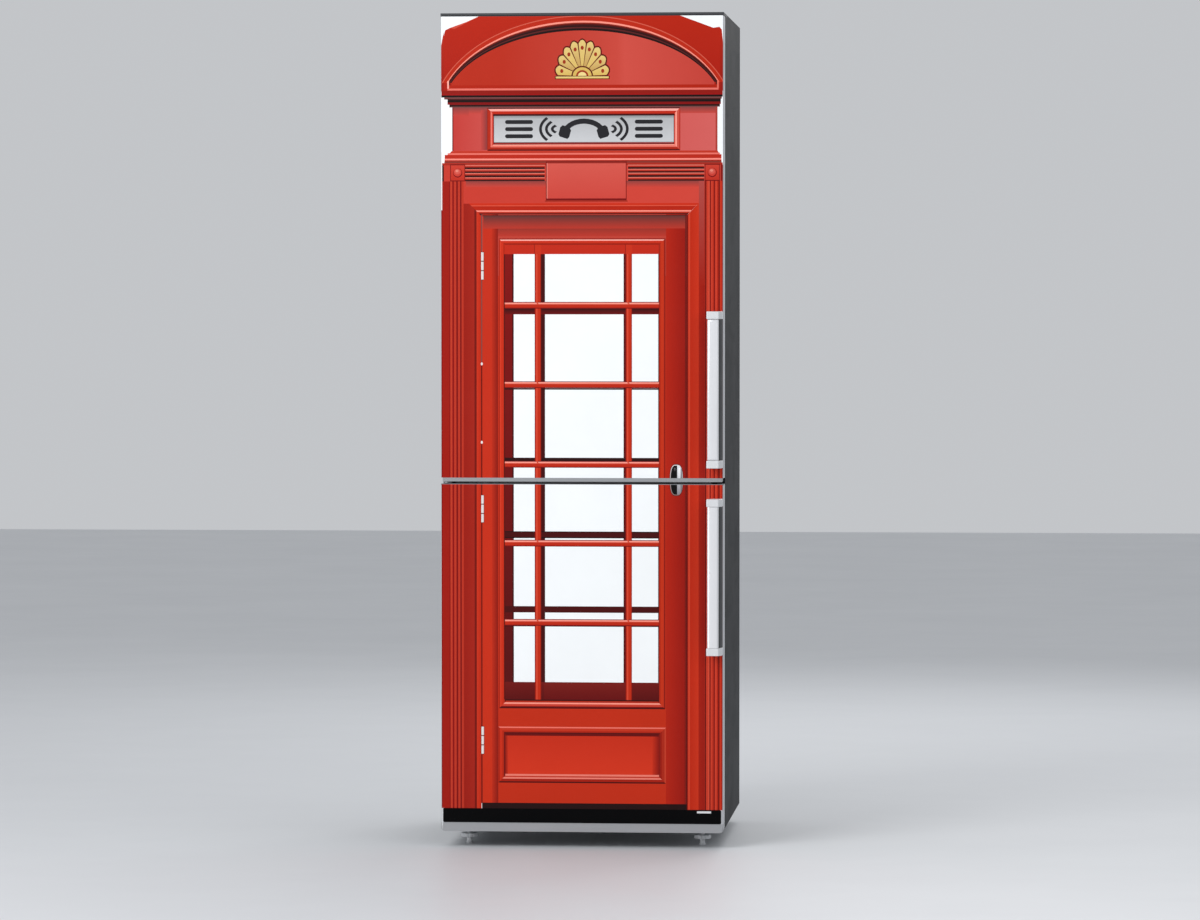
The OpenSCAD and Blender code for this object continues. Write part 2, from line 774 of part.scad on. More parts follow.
module roller(side) {
    color(black) translate([side * foot_x, roller_y, roller_r]) rotate([0, 90, 0]) {
        translate([0, 0, -roller_w / 2]) cylinder(r = roller_r, h = roller_w);
        translate([0, 0, -roller_w / 2 - 6]) cylinder(r = axle_r, h = roller_w + 12);
    }
}

// ---------- doors ----------

module door_skin(z0, z1) {
    color(silver) translate([0, 0, z0]) linear_extrude(z1 - z0) difference() {
        door_outline();
        door_outline(sheet);
        translate([-half_w + sheet, y_rear - e]) square([body_w - 2 * sheet, 2 * e]);
    }
}

module plug(z0, z1) {
    translate([0, 0, z0]) linear_extrude(z1 - z0) door_outline(sheet, liner_t);
}

module door_foam(z0, z1, cavity_z0, cavity_z1, depth) {
    plug(z0, z1);
    dyke_inside(cavity_z0, cavity_z1, depth);
}

module dyke_inside(z0, z1, depth) {
    ring(dyke_hw - liner_t, z0 + dyke_gap + liner_t, z1 - dyke_gap - liner_t, dyke_w - 2 * liner_t,
         y_rear - liner_t, y_rear + depth - liner_t);
}

module door_liner(z0, z1, cavity_z0, cavity_z1, depth) {
    difference() {
        union() {
            span([-half_w + sheet, y_rear - liner_t, z0], [half_w - sheet, y_rear, z1]);
            ring(dyke_hw, cavity_z0 + dyke_gap, cavity_z1 - dyke_gap, dyke_w, y_rear - liner_t,
                 y_rear + depth);
        }
        dyke_inside(cavity_z0, cavity_z1, depth);
    }
}

module pin_bore(z0, z1) {
    translate([hinge_x, hinge_y, z0]) cylinder(r = pin_r + run_gap, h = z1 - z0);
}

// The moulded top end of a door: a lip over the sheet and a plug inside it.
module door_cap(top) {
    difference() {
        union() {
            translate([0, 0, top - cap_lip]) linear_extrude(cap_lip) door_outline();
            plug(top - cap_lip - cap_plug, top - cap_lip);
        }
        pin_bore(top - pin_len - bore_spare, top + e);
    }
}

module gasket(z0, z1) {
    color(grey) ring(gasket_hw, z0 + gasket_edge, z1 - gasket_edge, gasket_w, y_rear, y_cab);
}

module film(z0, z1) {
    color(red) span([-half_w + 1.5, y_door - film_t, z0], [half_w - 1.5, y_door, z1]);
}

upper_skin_z0 = upper_z0 + upper_sill_h;
lower_skin_z0 = lower_z0 + lower_sill_h;

module upper_door_foam() {
    color(foam_yellow) difference() {
        door_foam(upper_skin_z0 + cap_plug, upper_z1 - cap_lip - cap_plug, fridge_z0, fridge_z1,
                  upper_dyke);
        dairy_axis(dairy_r + 0.5);
    }
}

module lower_door_foam() {
    color(foam_yellow)
        door_foam(lower_skin_z0 + cap_plug, lower_z1 - cap_lip - cap_plug, freezer_z0,
                  freezer_z1, lower_dyke);
}

module dairy_axis(r) {
    translate([-dyke_hw + dyke_w - 6, dairy_y, dairy_z]) rotate([0, 90, 0])
        cylinder(r = r, h = 2 * (dyke_hw - dyke_w + 6));
}

module upper_door_liner() {
    inner = dyke_hw - dyke_w;
    color(white) {
        difference() {
            door_liner(upper_skin_z0, upper_z1 - cap_lip, fridge_z0, fridge_z1, upper_dyke);
            dairy_axis(dairy_r + run_gap);
        }
        for (i = [1, 2], side = [-1, 1]) mirror([side == 1 ? 0 : 1, 0, 0])
            span([inner - ledge, y_rear - liner_t / 2, rack_z[i] - 6],
                 [inner + liner_t / 2, y_rear + upper_dyke - 4, rack_z[i]]);
    }
}

module lower_door_liner() {
    color(white) door_liner(lower_skin_z0, lower_z1 - cap_lip, freezer_z0, freezer_z1, lower_dyke);
}

module upper_door_sill() {
    color(silver) difference() {
        union() {
            translate([0, 0, upper_z0]) linear_extrude(upper_sill_h) intersection() {
                door_outline();
                translate([-half_w + sill_inset, y_door - e])
                    square([body_w - 2 * sill_inset, door_t + 2 * e]);
            }
            plug(upper_skin_z0, upper_skin_z0 + cap_plug);
        }
        pin_bore(upper_z0 - e, upper_z0 + pin_len + bore_spare);
    }
}

module lower_door_sill() {
    r = 8;
    color(silver) difference() {
        union() {
            intersection() {
                translate([0, 0, lower_z0]) linear_extrude(lower_sill_h) door_outline();
                translate([0, y_rear + e, lower_z0 + lower_sill_h]) rotate([90, 0, 0])
                    linear_extrude(door_t + 2 * e) round_rect(body_w, 2 * lower_sill_h, r);
            }
            plug(lower_skin_z0, lower_skin_z0 + cap_plug);
        }
        span([-half_w - e, y_door + recess_front, lower_z0 - e],
             [-half_w + recess_w, y_rear + e, recess_top]);
        pin_bore(lower_z0, z_base + pin_len + bore_spare);
    }
}

module plinth_strip() {
    z0 = lower_skin_z0;
    color(black) translate([0, y_door, z0 + plinth_h / 2]) rotate([90, 0, 0])
        linear_extrude(plinth_t) round_rect(body_w - 9, plinth_h, 3);
}

// A rack: a tub whose cabinet-side wall is the tall one; it rests on the ledges of the door's dykes.
module rack(i, depth) {
    z = rack_z[i];
    h = rack_heights[i];
    color(clear) difference() {
        tub(rack_hw, y_rear + 0.5, y_rear + depth, z, z + h, tub_wall);
        span([-rack_hw - e, y_rear, z + h * 0.62], [rack_hw + e, y_rear + depth * 0.72, z + h + e]);
    }
}

module dairy_cover() {
    hw = rack_hw - 2;
    color(clear) {
        span([-hw, dairy_y, dairy_z - 1.2], [hw, dairy_y + dairy_reach, dairy_z + 1.3]);
        span([-hw, dairy_y + dairy_reach - 2.5, dairy_z - 40],
             [hw, dairy_y + dairy_reach, dairy_z + 1.3]);
        for (side = [-1, 1]) mirror([side == 1 ? 0 : 1, 0, 0])
            translate([hw - 2, dairy_y, dairy_z]) rotate([0, 90, 0]) cylinder(r = dairy_r, h = 7.5);
    }
}

// ---------- handles ----------

post_h = 16;
bar_x0 = half_w - bar_w - 8;             // the bar's outer edge stands 8 inside the door's edge

// One end post, seen from above: it runs from the film to the bar, its outer flank swept back.
module post_outline() {
    y0 = y_door - film_t;
    y1 = y_door - handle_reach;
    polygon([[bar_x0 - 1.5, y1 + 2], [bar_x0, y1], [bar_x0 + bar_w, y1], [half_w - 1, y1 + bar_t],
        [half_w - 1, y0], [bar_x0 + 6, y0], [bar_x0 - 1.5, y1 + bar_t + 4]]);
}

module handle_posts(z0) {
    color(silver) for (z = [z0, z0 + handle_len - post_h])
        translate([0, 0, z]) linear_extrude(post_h) post_outline();
}

// The bar, and the wing that closes its outer side down to the film.
module bar_outline() {
    bar_y1 = y_door - handle_reach + 1 + bar_t;
    bar_x1 = bar_x0 + bar_w;
    translate([bar_x0 + bar_w / 2, bar_y1 - bar_t / 2]) round_rect(bar_w, bar_t, 3);
    polygon([[bar_x1 - 5, bar_y1 - 4], [bar_x1, bar_y1 - 6], [half_w - 1.5, y_door - film_t],
        [half_w - 5.5, y_door - film_t]]);
}

module handle_bar(z0) {
    color(silver) translate([0, 0, z0 + post_h]) linear_extrude(handle_len - 2 * post_h) bar_outline();
}

upper_handle_z = upper_z0 + handle_edge;
lower_handle_z = lower_z1 - handle_edge - handle_len;

// ---------- what is drawn ----------

side_panel(-1);  // side_panel_left
side_panel(1);  // side_panel_right
top_panel();
top_trim();
back_panel();
base_tray();
centre_rail();
cabinet_foam();
fridge_liner();
freezer_liner();
hinge_brackets();
screws();
compressor();
compressor_grommets();
evaporation_tray();
condenser();
rear_spacers();
refrigerant_pipes();
drain_pipe();
mains_gland();
control_box();
lamp_lens();
shelf_panes();
shelf_trims();
evaporator_shelves();
thermostat_knob();
door_switch();
crisper(-1);  // crisper_left
crisper(1);  // crisper_right
freezer_drawer(level_2 + ledge_top, freezer_z1 - 8, y_cab + freezer_d - 12);  // freezer_drawer_top
freezer_drawer(level_1 + ledge_top, level_2 - 9, y_cab + freezer_d - 12);  // freezer_drawer_middle
freezer_drawer(freezer_z0, hump_z - 4, hump_y - 12);  // freezer_drawer_bottom
foot(-1);  // foot_left
foot(1);  // foot_right
roller(-1);  // roller_left
roller(1);  // roller_right
door_skin(upper_skin_z0, upper_z1 - cap_lip);  // upper_door_skin
upper_door_foam();
upper_door_liner();
color(dark) door_cap(upper_z1);  // upper_door_cap
upper_door_sill();
gasket(upper_z0, upper_z1);  // upper_door_gasket
film(upper_skin_z0, upper_z1 - 1);  // upper_door_film
rack(2, 84);  // door_rack_top
rack(1, rack_d);  // door_rack_middle
rack(0, rack_d);  // door_rack_bottom
dairy_cover();
handle_bar(upper_handle_z);  // upper_handle_bar
handle_posts(upper_handle_z);  // upper_handle_posts
door_skin(lower_skin_z0, lower_z1 - cap_lip);  // lower_door_skin
lower_door_foam();
lower_door_liner();
color(grey) door_cap(lower_z1);  // lower_door_cap
lower_door_sill();
plinth_strip();
gasket(lower_z0, lower_z1);  // lower_door_gasket
film(lower_skin_z0 + plinth_h, lower_z1 - 1);  // lower_door_film
handle_bar(lower_handle_z);  // lower_handle_bar
handle_posts(lower_handle_z);  // lower_handle_posts
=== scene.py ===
import json
import math
import bpy
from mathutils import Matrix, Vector
from mathutils.geometry import delaunay_2d_cdt


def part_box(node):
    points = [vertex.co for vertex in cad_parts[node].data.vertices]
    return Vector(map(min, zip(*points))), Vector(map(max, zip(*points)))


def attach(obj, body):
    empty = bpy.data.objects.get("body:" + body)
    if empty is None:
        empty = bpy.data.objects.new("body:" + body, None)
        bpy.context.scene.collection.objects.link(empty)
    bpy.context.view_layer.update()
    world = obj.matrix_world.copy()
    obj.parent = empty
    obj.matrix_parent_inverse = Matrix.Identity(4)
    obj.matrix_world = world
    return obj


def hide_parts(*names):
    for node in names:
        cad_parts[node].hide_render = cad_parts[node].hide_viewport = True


# Fridge-freezer whose two doors wear a printed vinyl film of a red kiosk.
# Everything is in metres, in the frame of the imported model: doors face -Y, hinges at -X.
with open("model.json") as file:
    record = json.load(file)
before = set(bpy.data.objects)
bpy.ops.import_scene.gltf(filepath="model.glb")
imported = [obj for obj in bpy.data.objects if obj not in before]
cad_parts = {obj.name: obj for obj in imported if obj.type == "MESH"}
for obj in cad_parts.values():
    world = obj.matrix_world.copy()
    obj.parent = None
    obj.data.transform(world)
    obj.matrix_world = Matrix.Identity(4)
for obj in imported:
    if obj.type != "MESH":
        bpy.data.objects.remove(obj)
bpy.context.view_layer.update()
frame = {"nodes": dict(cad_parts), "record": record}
cadNodes = frame["nodes"]
scene = bpy.context.scene
mm = 0.001


def deselectAll():
    if bpy.context.object and bpy.context.object.mode != "OBJECT":
        bpy.ops.object.mode_set(mode="OBJECT")
    bpy.ops.object.select_all(action="DESELECT")


def workOn(piece):
    deselectAll()
    piece.select_set(True)
    bpy.context.view_layer.objects.active = piece


def settle(piece):  # puts the piece's place, turn and size into its mesh
    workOn(piece)
    bpy.ops.object.transform_apply(location=True, rotation=True, scale=True)


def pickFaces(piece, test):  # selects the faces that pass a test of centre and normal
    bpy.ops.object.mode_set(mode="OBJECT")
    for v in piece.data.vertices:
        v.select = False
    for e in piece.data.edges:
        e.select = False
    for f in piece.data.polygons:
        f.select = test(f.center, f.normal)
    bpy.ops.object.mode_set(mode="EDIT")
    bpy.ops.mesh.select_mode(type="FACE")


def pickEdges(piece, test):  # selects the edges whose two ends pass a test
    bpy.ops.object.mode_set(mode="OBJECT")
    for f in piece.data.polygons:
        f.select = False
    for v in piece.data.vertices:
        v.select = False
    for e in piece.data.edges:
        a, b = (piece.data.vertices[i].co for i in e.vertices)
        e.select = test(a, b)
    bpy.ops.object.mode_set(mode="EDIT")
    bpy.ops.mesh.select_mode(type="EDGE")


def block(name, low, high):  # a cube between two corners
    deselectAll()
    low, high = Vector(low), Vector(high)
    bpy.ops.mesh.primitive_cube_add(size=1, location=(low + high) / 2, scale=high - low)
    piece = bpy.context.object
    piece.name = name
    piece.data.name = name
    settle(piece)
    return piece


def applyAll(piece):
    workOn(piece)
    for m in list(piece.modifiers):
        bpy.ops.object.modifier_apply(modifier=m.name)


def editAll(piece):  # opens the piece with all of it selected
    workOn(piece)
    bpy.ops.object.mode_set(mode="EDIT")
    bpy.ops.mesh.select_all(action="SELECT")


def cutAcross(piece, place, way, **settings):
    editAll(piece)
    bpy.ops.mesh.bisect(plane_co=place, plane_no=way, **settings)
    bpy.ops.object.mode_set(mode="OBJECT")


def faceOutward(piece):
    editAll(piece)
    bpy.ops.mesh.normals_make_consistent(inside=False)
    bpy.ops.object.mode_set(mode="OBJECT")


def roundPicked(width, segments):  # width in mm
    bpy.ops.mesh.bevel(offset=width * mm, segments=segments)
    bpy.ops.object.mode_set(mode="OBJECT")


def sinkPicked(inset, depth, **settings):  # both in mm
    bpy.ops.mesh.inset(thickness=inset * mm, **settings)
    bpy.ops.mesh.extrude_region_shrink_fatten(TRANSFORM_OT_shrink_fatten={"value": -depth * mm})
    bpy.ops.object.mode_set(mode="OBJECT")


def paint(piece, finish):
    piece.data.materials.clear()
    piece.data.materials.append(finish)


def soften(piece, width, segments=2, angle=30, live=False):
    bevel = piece.modifiers.new("soft edge", "BEVEL")
    bevel.width = width
    bevel.segments = segments
    bevel.limit_method = "ANGLE"
    bevel.angle_limit = math.radians(angle)
    bevel.harden_normals = False
    if not live:
        applyAll(piece)


def smooth(piece, angle=35):
    workOn(piece)
    bpy.ops.object.shade_smooth_by_angle(angle=math.radians(angle))


# shared effects, one node group each

def newGroup(name, inputs, outputs):
    group = bpy.data.node_groups.new(name, "ShaderNodeTree")
    for label, kind, value in inputs:
        sock = group.interface.new_socket(name=label, in_out="INPUT", socket_type=kind)
        sock.default_value = value
    for label, kind in outputs:
        group.interface.new_socket(name=label, in_out="OUTPUT", socket_type=kind)
    start = group.nodes.new("NodeGroupInput")
    end = group.nodes.new("NodeGroupOutput")
    start.location, end.location = (-900, 0), (500, 0)
    return group, start, end


def addNode(tree, kind, x, y, **settings):
    node = tree.nodes.new(kind)
    node.location = (x, y)
    for key, value in settings.items():
        setattr(node, key, value)
    return node


def makeGrain():  # fine moulded or sprayed texture, and a slow mottle
    group, start, end = newGroup(
        "fine grain",
        [("Grain Size", "NodeSocketFloat", 900.0), ("Mottle Size", "NodeSocketFloat", 6.0),
         ("Stretch", "NodeSocketVector", (1, 1, 1))],
        [("Grain", "NodeSocketFloat"), ("Mottle", "NodeSocketFloat")])
    place = addNode(group, "ShaderNodeTexCoord", -900, -300)
    spread = addNode(group, "ShaderNodeVectorMath", -700, -200, operation="MULTIPLY")
    fine = addNode(group, "ShaderNodeTexNoise", -400, 0)
    fine.inputs["Detail"].default_value = 3
    slow = addNode(group, "ShaderNodeTexNoise", -400, -300)
    slow.inputs["Detail"].default_value = 4
    slow.inputs["Roughness"].default_value = 0.6
    link = group.links.new
    link(place.outputs["Object"], spread.inputs[0])
    link(start.outputs["Stretch"], spread.inputs[1])
    link(spread.outputs[0], fine.inputs["Vector"])
    link(start.outputs["Grain Size"], fine.inputs["Scale"])
    link(place.outputs["Object"], slow.inputs["Vector"])
    link(start.outputs["Mottle Size"], slow.inputs["Scale"])
    link(fine.outputs["Fac"], end.inputs["Grain"])
    link(slow.outputs["Fac"], end.inputs["Mottle"])
    return group


def makeDust():  # dust that lies on what faces up, patchy
    group, start, end = newGroup(
        "settled dust", [("Amount", "NodeSocketFloat", 0.3), ("Patch Size", "NodeSocketFloat", 14.0)],
        [("Dust", "NodeSocketFloat")])
    place = addNode(group, "ShaderNodeTexCoord", -900, -300)
    shape = addNode(group, "ShaderNodeNewGeometry", -700, 200)
    split = addNode(group, "ShaderNodeSeparateXYZ", -500, 200)
    upward = addNode(group, "ShaderNodeMapRange", -300, 200)
    upward.inputs["From Min"].default_value = 0.3
    patch = addNode(group, "ShaderNodeTexNoise", -500, -200)
    patch.inputs["Detail"].default_value = 5
    both = addNode(group, "ShaderNodeMath", -100, 0, operation="MULTIPLY")
    amount = addNode(group, "ShaderNodeMath", 150, 0, operation="MULTIPLY", use_clamp=True)
    link = group.links.new
    link(shape.outputs["Normal"], split.inputs[0])
    link(split.outputs["Z"], upward.inputs["Value"])
    link(place.outputs["Object"], patch.inputs["Vector"])
    link(start.outputs["Patch Size"], patch.inputs["Scale"])
    link(upward.outputs["Result"], both.inputs[0])
    link(patch.outputs["Fac"], both.inputs[1])
    link(both.outputs[0], amount.inputs[0])
    link(start.outputs["Amount"], amount.inputs[1])
    link(amount.outputs[0], end.inputs["Dust"])
    return group


def makeSmears():  # long faint wipe marks
    group, start, end = newGroup(
        "wipe marks", [("Amount", "NodeSocketFloat", 0.5)], [("Smear", "NodeSocketFloat")])
    place = addNode(group, "ShaderNodeTexCoord", -900, -300)
    stretch = addNode(group, "ShaderNodeMapping", -700, -200)
    stretch.inputs["Rotation"].default_value = (0, 0.5, 0.3)
    stretch.inputs["Scale"].default_value = (3, 3, 14)
    wide = addNode(group, "ShaderNodeTexNoise", -450, -100)
    wide.inputs["Scale"].default_value = 1.6
    wide.inputs["Detail"].default_value = 6
    wide.inputs["Distortion"].default_value = 0.6
    ramp = addNode(group, "ShaderNodeMapRange", -200, -100)
    ramp.inputs["From Min"].default_value = 0.45
    ramp.inputs["From Max"].default_value = 0.75
    amount = addNode(group, "ShaderNodeMath", 100, 0, operation="MULTIPLY")
    link = group.links.new
    link(place.outputs["Object"], stretch.inputs["Vector"])
    link(stretch.outputs[0], wide.inputs["Vector"])
    link(wide.outputs["Fac"], ramp.inputs["Value"])
    link(ramp.outputs["Result"], amount.inputs[0])
    link(start.outputs["Amount"], amount.inputs[1])
    link(amount.outputs[0], end.inputs["Smear"])
    return group


grainGroup = makeGrain()
dustGroup = makeDust()
smearGroup = makeSmears()
print("shared effects ready")


def linear(hexCode):  # a screen colour as a shader colour
    out = []
    for i in (0, 2, 4):
        c = int(hexCode[i:i + 2], 16) / 255
        out.append(c / 12.92 if c <= 0.04045 else ((c + 0.055) / 1.055) ** 2.4)
    return tuple(out)


def makeFinish(name, look):  # one material from a dictionary of its looks
    mat = bpy.data.materials.new(name)
    mat.use_nodes = True
    tree = mat.node_tree
    link = tree.links.new
    shader = tree.nodes["Principled BSDF"]
    shader.location = (400, 0)
    tree.nodes["Material Output"].location = (700, 0)
    shader.inputs["Metallic"].default_value = look.get("metal", 0)
    shader.inputs["IOR"].default_value = look.get("ior", 1.5)
    shader.inputs["Coat Weight"].default_value = look.get("coat", 0)
    shader.inputs["Coat Roughness"].default_value = look.get("coatRough", 0.1)
    shader.inputs["Transmission Weight"].default_value = look.get("clear", 0)
    shader.inputs["Specular IOR Level"].default_value = look.get("shine", 0.5)
    shader.inputs["Subsurface Weight"].default_value = look.get("soft", 0)
    shader.inputs["Subsurface Scale"].default_value = 0.003
    grain = addNode(tree, "ShaderNodeGroup", -900, -200, node_tree=grainGroup)
    grain.inputs["Grain Size"].default_value = look.get("grain", 900)
    grain.inputs["Mottle Size"].default_value = look.get("mottle", 6)
    grain.inputs["Stretch"].default_value = look.get("stretch", (1, 1, 1))
    blend = addNode(tree, "ShaderNodeMix", -400, 200, data_type="RGBA")
    blend.inputs["A"].default_value = linear(look["colour"]) + (1,)
    blend.inputs["B"].default_value = linear(look["second"]) + (1,)
    link(grain.outputs["Mottle"], blend.inputs["Factor"])
    colour = blend.outputs["Result"]
    if look.get("dust", 0) > 0:
        dust = addNode(tree, "ShaderNodeGroup", -600, 500, node_tree=dustGroup)
        dust.inputs["Amount"].default_value = look["dust"]
        cover = addNode(tree, "ShaderNodeMix", -150, 300, data_type="RGBA")
        cover.inputs["B"].default_value = linear("a8a39a") + (1,)
        link(colour, cover.inputs["A"])
        link(dust.outputs["Dust"], cover.inputs["Factor"])
        colour = cover.outputs["Result"]
    link(colour, shader.inputs["Base Color"])
    smear = addNode(tree, "ShaderNodeGroup", -900, -500, node_tree=smearGroup)
    smear.inputs["Amount"].default_value = look.get("smear", 0.3)
    uneven = addNode(tree, "ShaderNodeMath", -600, -400, operation="ADD")
    rough = addNode(tree, "ShaderNodeMapRange", -150, -200)
    rough.inputs["To Min"].default_value = look["rough"][0]
    rough.inputs["To Max"].default_value = look["rough"][1]
    link(grain.outputs["Mottle"], uneven.inputs[0])
    link(smear.outputs["Smear"], uneven.inputs[1])
    link(uneven.outputs[0], rough.inputs["Value"])
    link(rough.outputs["Result"], shader.inputs["Roughness"])
    bump = addNode(tree, "ShaderNodeBump", 100, -400)
    bump.inputs["Strength"].default_value = look.get("relief", 0.2)
    bump.inputs["Distance"].default_value = look.get("depth", 0.0002)
    link(grain.outputs["Grain"], bump.inputs["Height"])
    link(bump.outputs[0], shader.inputs["Normal"])
    return mat


finishes = {
    # cabinet_paint: dark grey paint made darker still, as painted shade of the cabinet's side standing in
    # shadow
    "cabinet_paint": dict(colour="15171a", second="1c1e21", rough=(0.5, 0.62), grain=1400, relief=0.25,
                          depth=0.0002, shine=0.1, smear=0.4, dust=0.08),
    "zinc_steel": dict(colour="a9adb0", second="7f8589", metal=1, rough=(0.32, 0.55), grain=220, mottle=45,
                       relief=0.15, dust=0.25),
    "black_paint": dict(colour="101012", second="191a1c", rough=(0.3, 0.5), grain=1100, relief=0.3,
                        dust=0.5, smear=0.6),
    "door_paint": dict(colour="c6c7ca", second="b9bbbf", metal=0.3, rough=(0.34, 0.42), grain=1600,
                       relief=0.15, smear=0.2),
    "silver_trim": dict(colour="b2b4b6", second="a4a6a9", metal=0.75, rough=(0.28, 0.36), grain=700,
                        stretch=(0.02, 1, 1), relief=0.1, smear=0.2),
    "grey_plastic": dict(colour="8b8e92", second="7f8286", rough=(0.42, 0.55), grain=1500, relief=0.35,
                         smear=0.3),
    "dark_plastic": dict(colour="2b2d30", second="33353a", rough=(0.45, 0.6), grain=1500, relief=0.4,
                         dust=0.25),
    "black_gloss": dict(colour="040405", second="070708", rough=(0.16, 0.28), grain=500, relief=0.04,
                        shine=0.05, coat=0, smear=0.5, dust=0.1),
    "liner_white": dict(colour="e6e8e8", second="dde0e1", rough=(0.24, 0.36), grain=420, relief=0.12,
                        soft=0.05, smear=0.25),
    "clear_plastic": dict(colour="f3f8fa", second="eaf2f5", rough=(0.1, 0.24), clear=0.72, ior=1.4,
                          grain=300, relief=0.06, smear=0.4),
    "shelf_glass": dict(colour="e9f6f1", second="e0f1ea", rough=(0.0, 0.05), clear=1, ior=1.52,
                        grain=120, relief=0.02, smear=0.5),
    "gasket_grey": dict(colour="9a9c9e", second="8a8c8f", rough=(0.55, 0.7), grain=1200, relief=0.3,
                        smear=0.2),
    "black_rubber": dict(colour="141414", second="1d1c1b", rough=(0.65, 0.85), grain=1100, relief=0.5,
                         dust=0.35),
    "handle_aluminium": dict(colour="eaeaec", second="dfe0e3", metal=0.3, rough=(0.24, 0.34), grain=900,
                             stretch=(1, 1, 0.012), relief=0.12, smear=0.3),
    "copper_tube": dict(colour="b06a42", second="7d4a30", metal=1, rough=(0.3, 0.5), grain=500, mottle=60,
                        relief=0.15),
    "cold_tube": dict(colour="dfe4e8", second="c3cad0", metal=0.3, rough=(0.35, 0.6), grain=700, mottle=50,
                      relief=0.4),
    "insulation": dict(colour="d9bd73", second="c4a25a", rough=(0.8, 0.95), grain=350, mottle=30,
                       relief=0.9, depth=0.0006),
}
mats = {slot: makeFinish(slot.replace("_", " "), look) for slot, look in finishes.items()}
for part in frame["record"]["subparts"]:
    if part["material_slot"] in mats:
        paint(cadNodes[part["node"]], mats[part["material_slot"]])
print("finishes on", len(cadNodes), "cad nodes")

# The printed film: the kiosk is drawn flat in millimetres, x across from the middle of the fridge
# and z up from the floor, as plain patches of ink in painting order. The patches are merged into one
# flat mesh whose corner colours carry the shading, and that mesh is cut out for each film.

inks = dict(white="fbfeff", red="c0301f", lit="cc3420", glint="ffaea2", spark="ff9183", edge="eb7568",
            mark="2d2d30", gold="d9b55f", oldGold="b98a4a")
picture = dict(corners=[], faces=[], inks=[], lowEdge=71)
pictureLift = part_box("lower_door_film")[0].z - picture["lowEdge"] * mm


def tone(ink):
    if isinstance(ink, Vector):
        return ink
    return Vector([max(0, c - 0.01) for c in linear(inks.get(ink, ink))])  # the gloss adds this much again


def between(inkA, inkB, t):
    return tone(inkA).lerp(tone(inkB), min(1, max(0, t)))


def patch(corners, ink, ink2=None, along="z"):  # one area of ink, or a blend of two along x or z
    axis = 0 if along == "x" else 1
    corners = list(corners)
    around = zip(corners, corners[1:] + corners[:1])
    if sum(a[0] * b[1] - b[0] * a[1] for a, b in around) < 0:
        corners.reverse()
    first = len(picture["corners"])
    picture["corners"] += [Vector(c) for c in corners]
    picture["faces"].append(list(range(first, first + len(corners))))
    low = min(c[axis] for c in corners)
    high = max(c[axis] for c in corners)
    picture["inks"].append((axis, low, high, tone(ink), tone(ink2 or ink)))


def bar(x0, x1, z0, z1, ink, ink2=None, along="z"):
    patch([(x0, z0), (x1, z0), (x1, z1), (x0, z1)], ink, ink2, along)


def stripes(x0, x1, z, bands):  # bands of (height, ink, ink above) laid downwards from z
    for height, *tones in bands:
        bar(x0, x1, z - height, z, *tones)
        z -= height


def flutes(x0, z0, z1, bands):  # bands of (width, ink) laid to the right from x0
    for width, ink in bands:
        bar(x0, x0 + width, z0, z1, ink)
        x0 += width


def moulding(x0, x1, z0, z1, steps):  # mitred frame: each step is (width, top, left, right, bottom)
    for width, top, left, right, bottom in steps:
        a0, a1, b0, b1 = x0 + width, x1 - width, z0 + width, z1 - width
        patch([(x0, z1), (a0, b1), (a1, b1), (x1, z1)], top)
        patch([(x0, z0), (a0, b0), (a0, b1), (x0, z1)], left)
        patch([(a1, b0), (x1, z0), (x1, z1), (a1, b1)], right)
        patch([(x0, z0), (x1, z0), (a1, b0), (a0, b0)], bottom)
        x0, x1, z0, z1 = a0, a1, b0, b1


def disc(x, z, rx, rz, ink, count=24, start=0, stop=360):
    turn = [math.radians(start + (stop - start) * i / count) for i in range(count + (stop - start < 360))]
    patch([(x + rx * math.cos(a), z + rz * math.sin(a)) for a in turn], ink)


roof = dict(shoulder=1608, middle=2, bow=0.931, flat=0.365, steps=48)


def archPoint(turn, crown, side):  # a point of a roof curve that springs from the shoulders
    x = side * math.sin(turn)
    bow = math.sqrt(1 - (roof["bow"] * math.sin(turn)) ** 2)
    rise = (bow - roof["flat"]) / (1 - roof["flat"])
    return roof["middle"] + x, roof["shoulder"] + (crown - roof["shoulder"]) * rise


def archTurns():
    return [math.pi * (i / roof["steps"] - 0.5) for i in range(roof["steps"] + 1)]


def archBand(outer, inner, ink):  # outer and inner are (crown, side)
    for a, b in zip(archTurns()[:-1], archTurns()[1:]):
        patch([archPoint(a, *outer), archPoint(b, *outer), archPoint(b, *inner), archPoint(a, *inner)], ink)


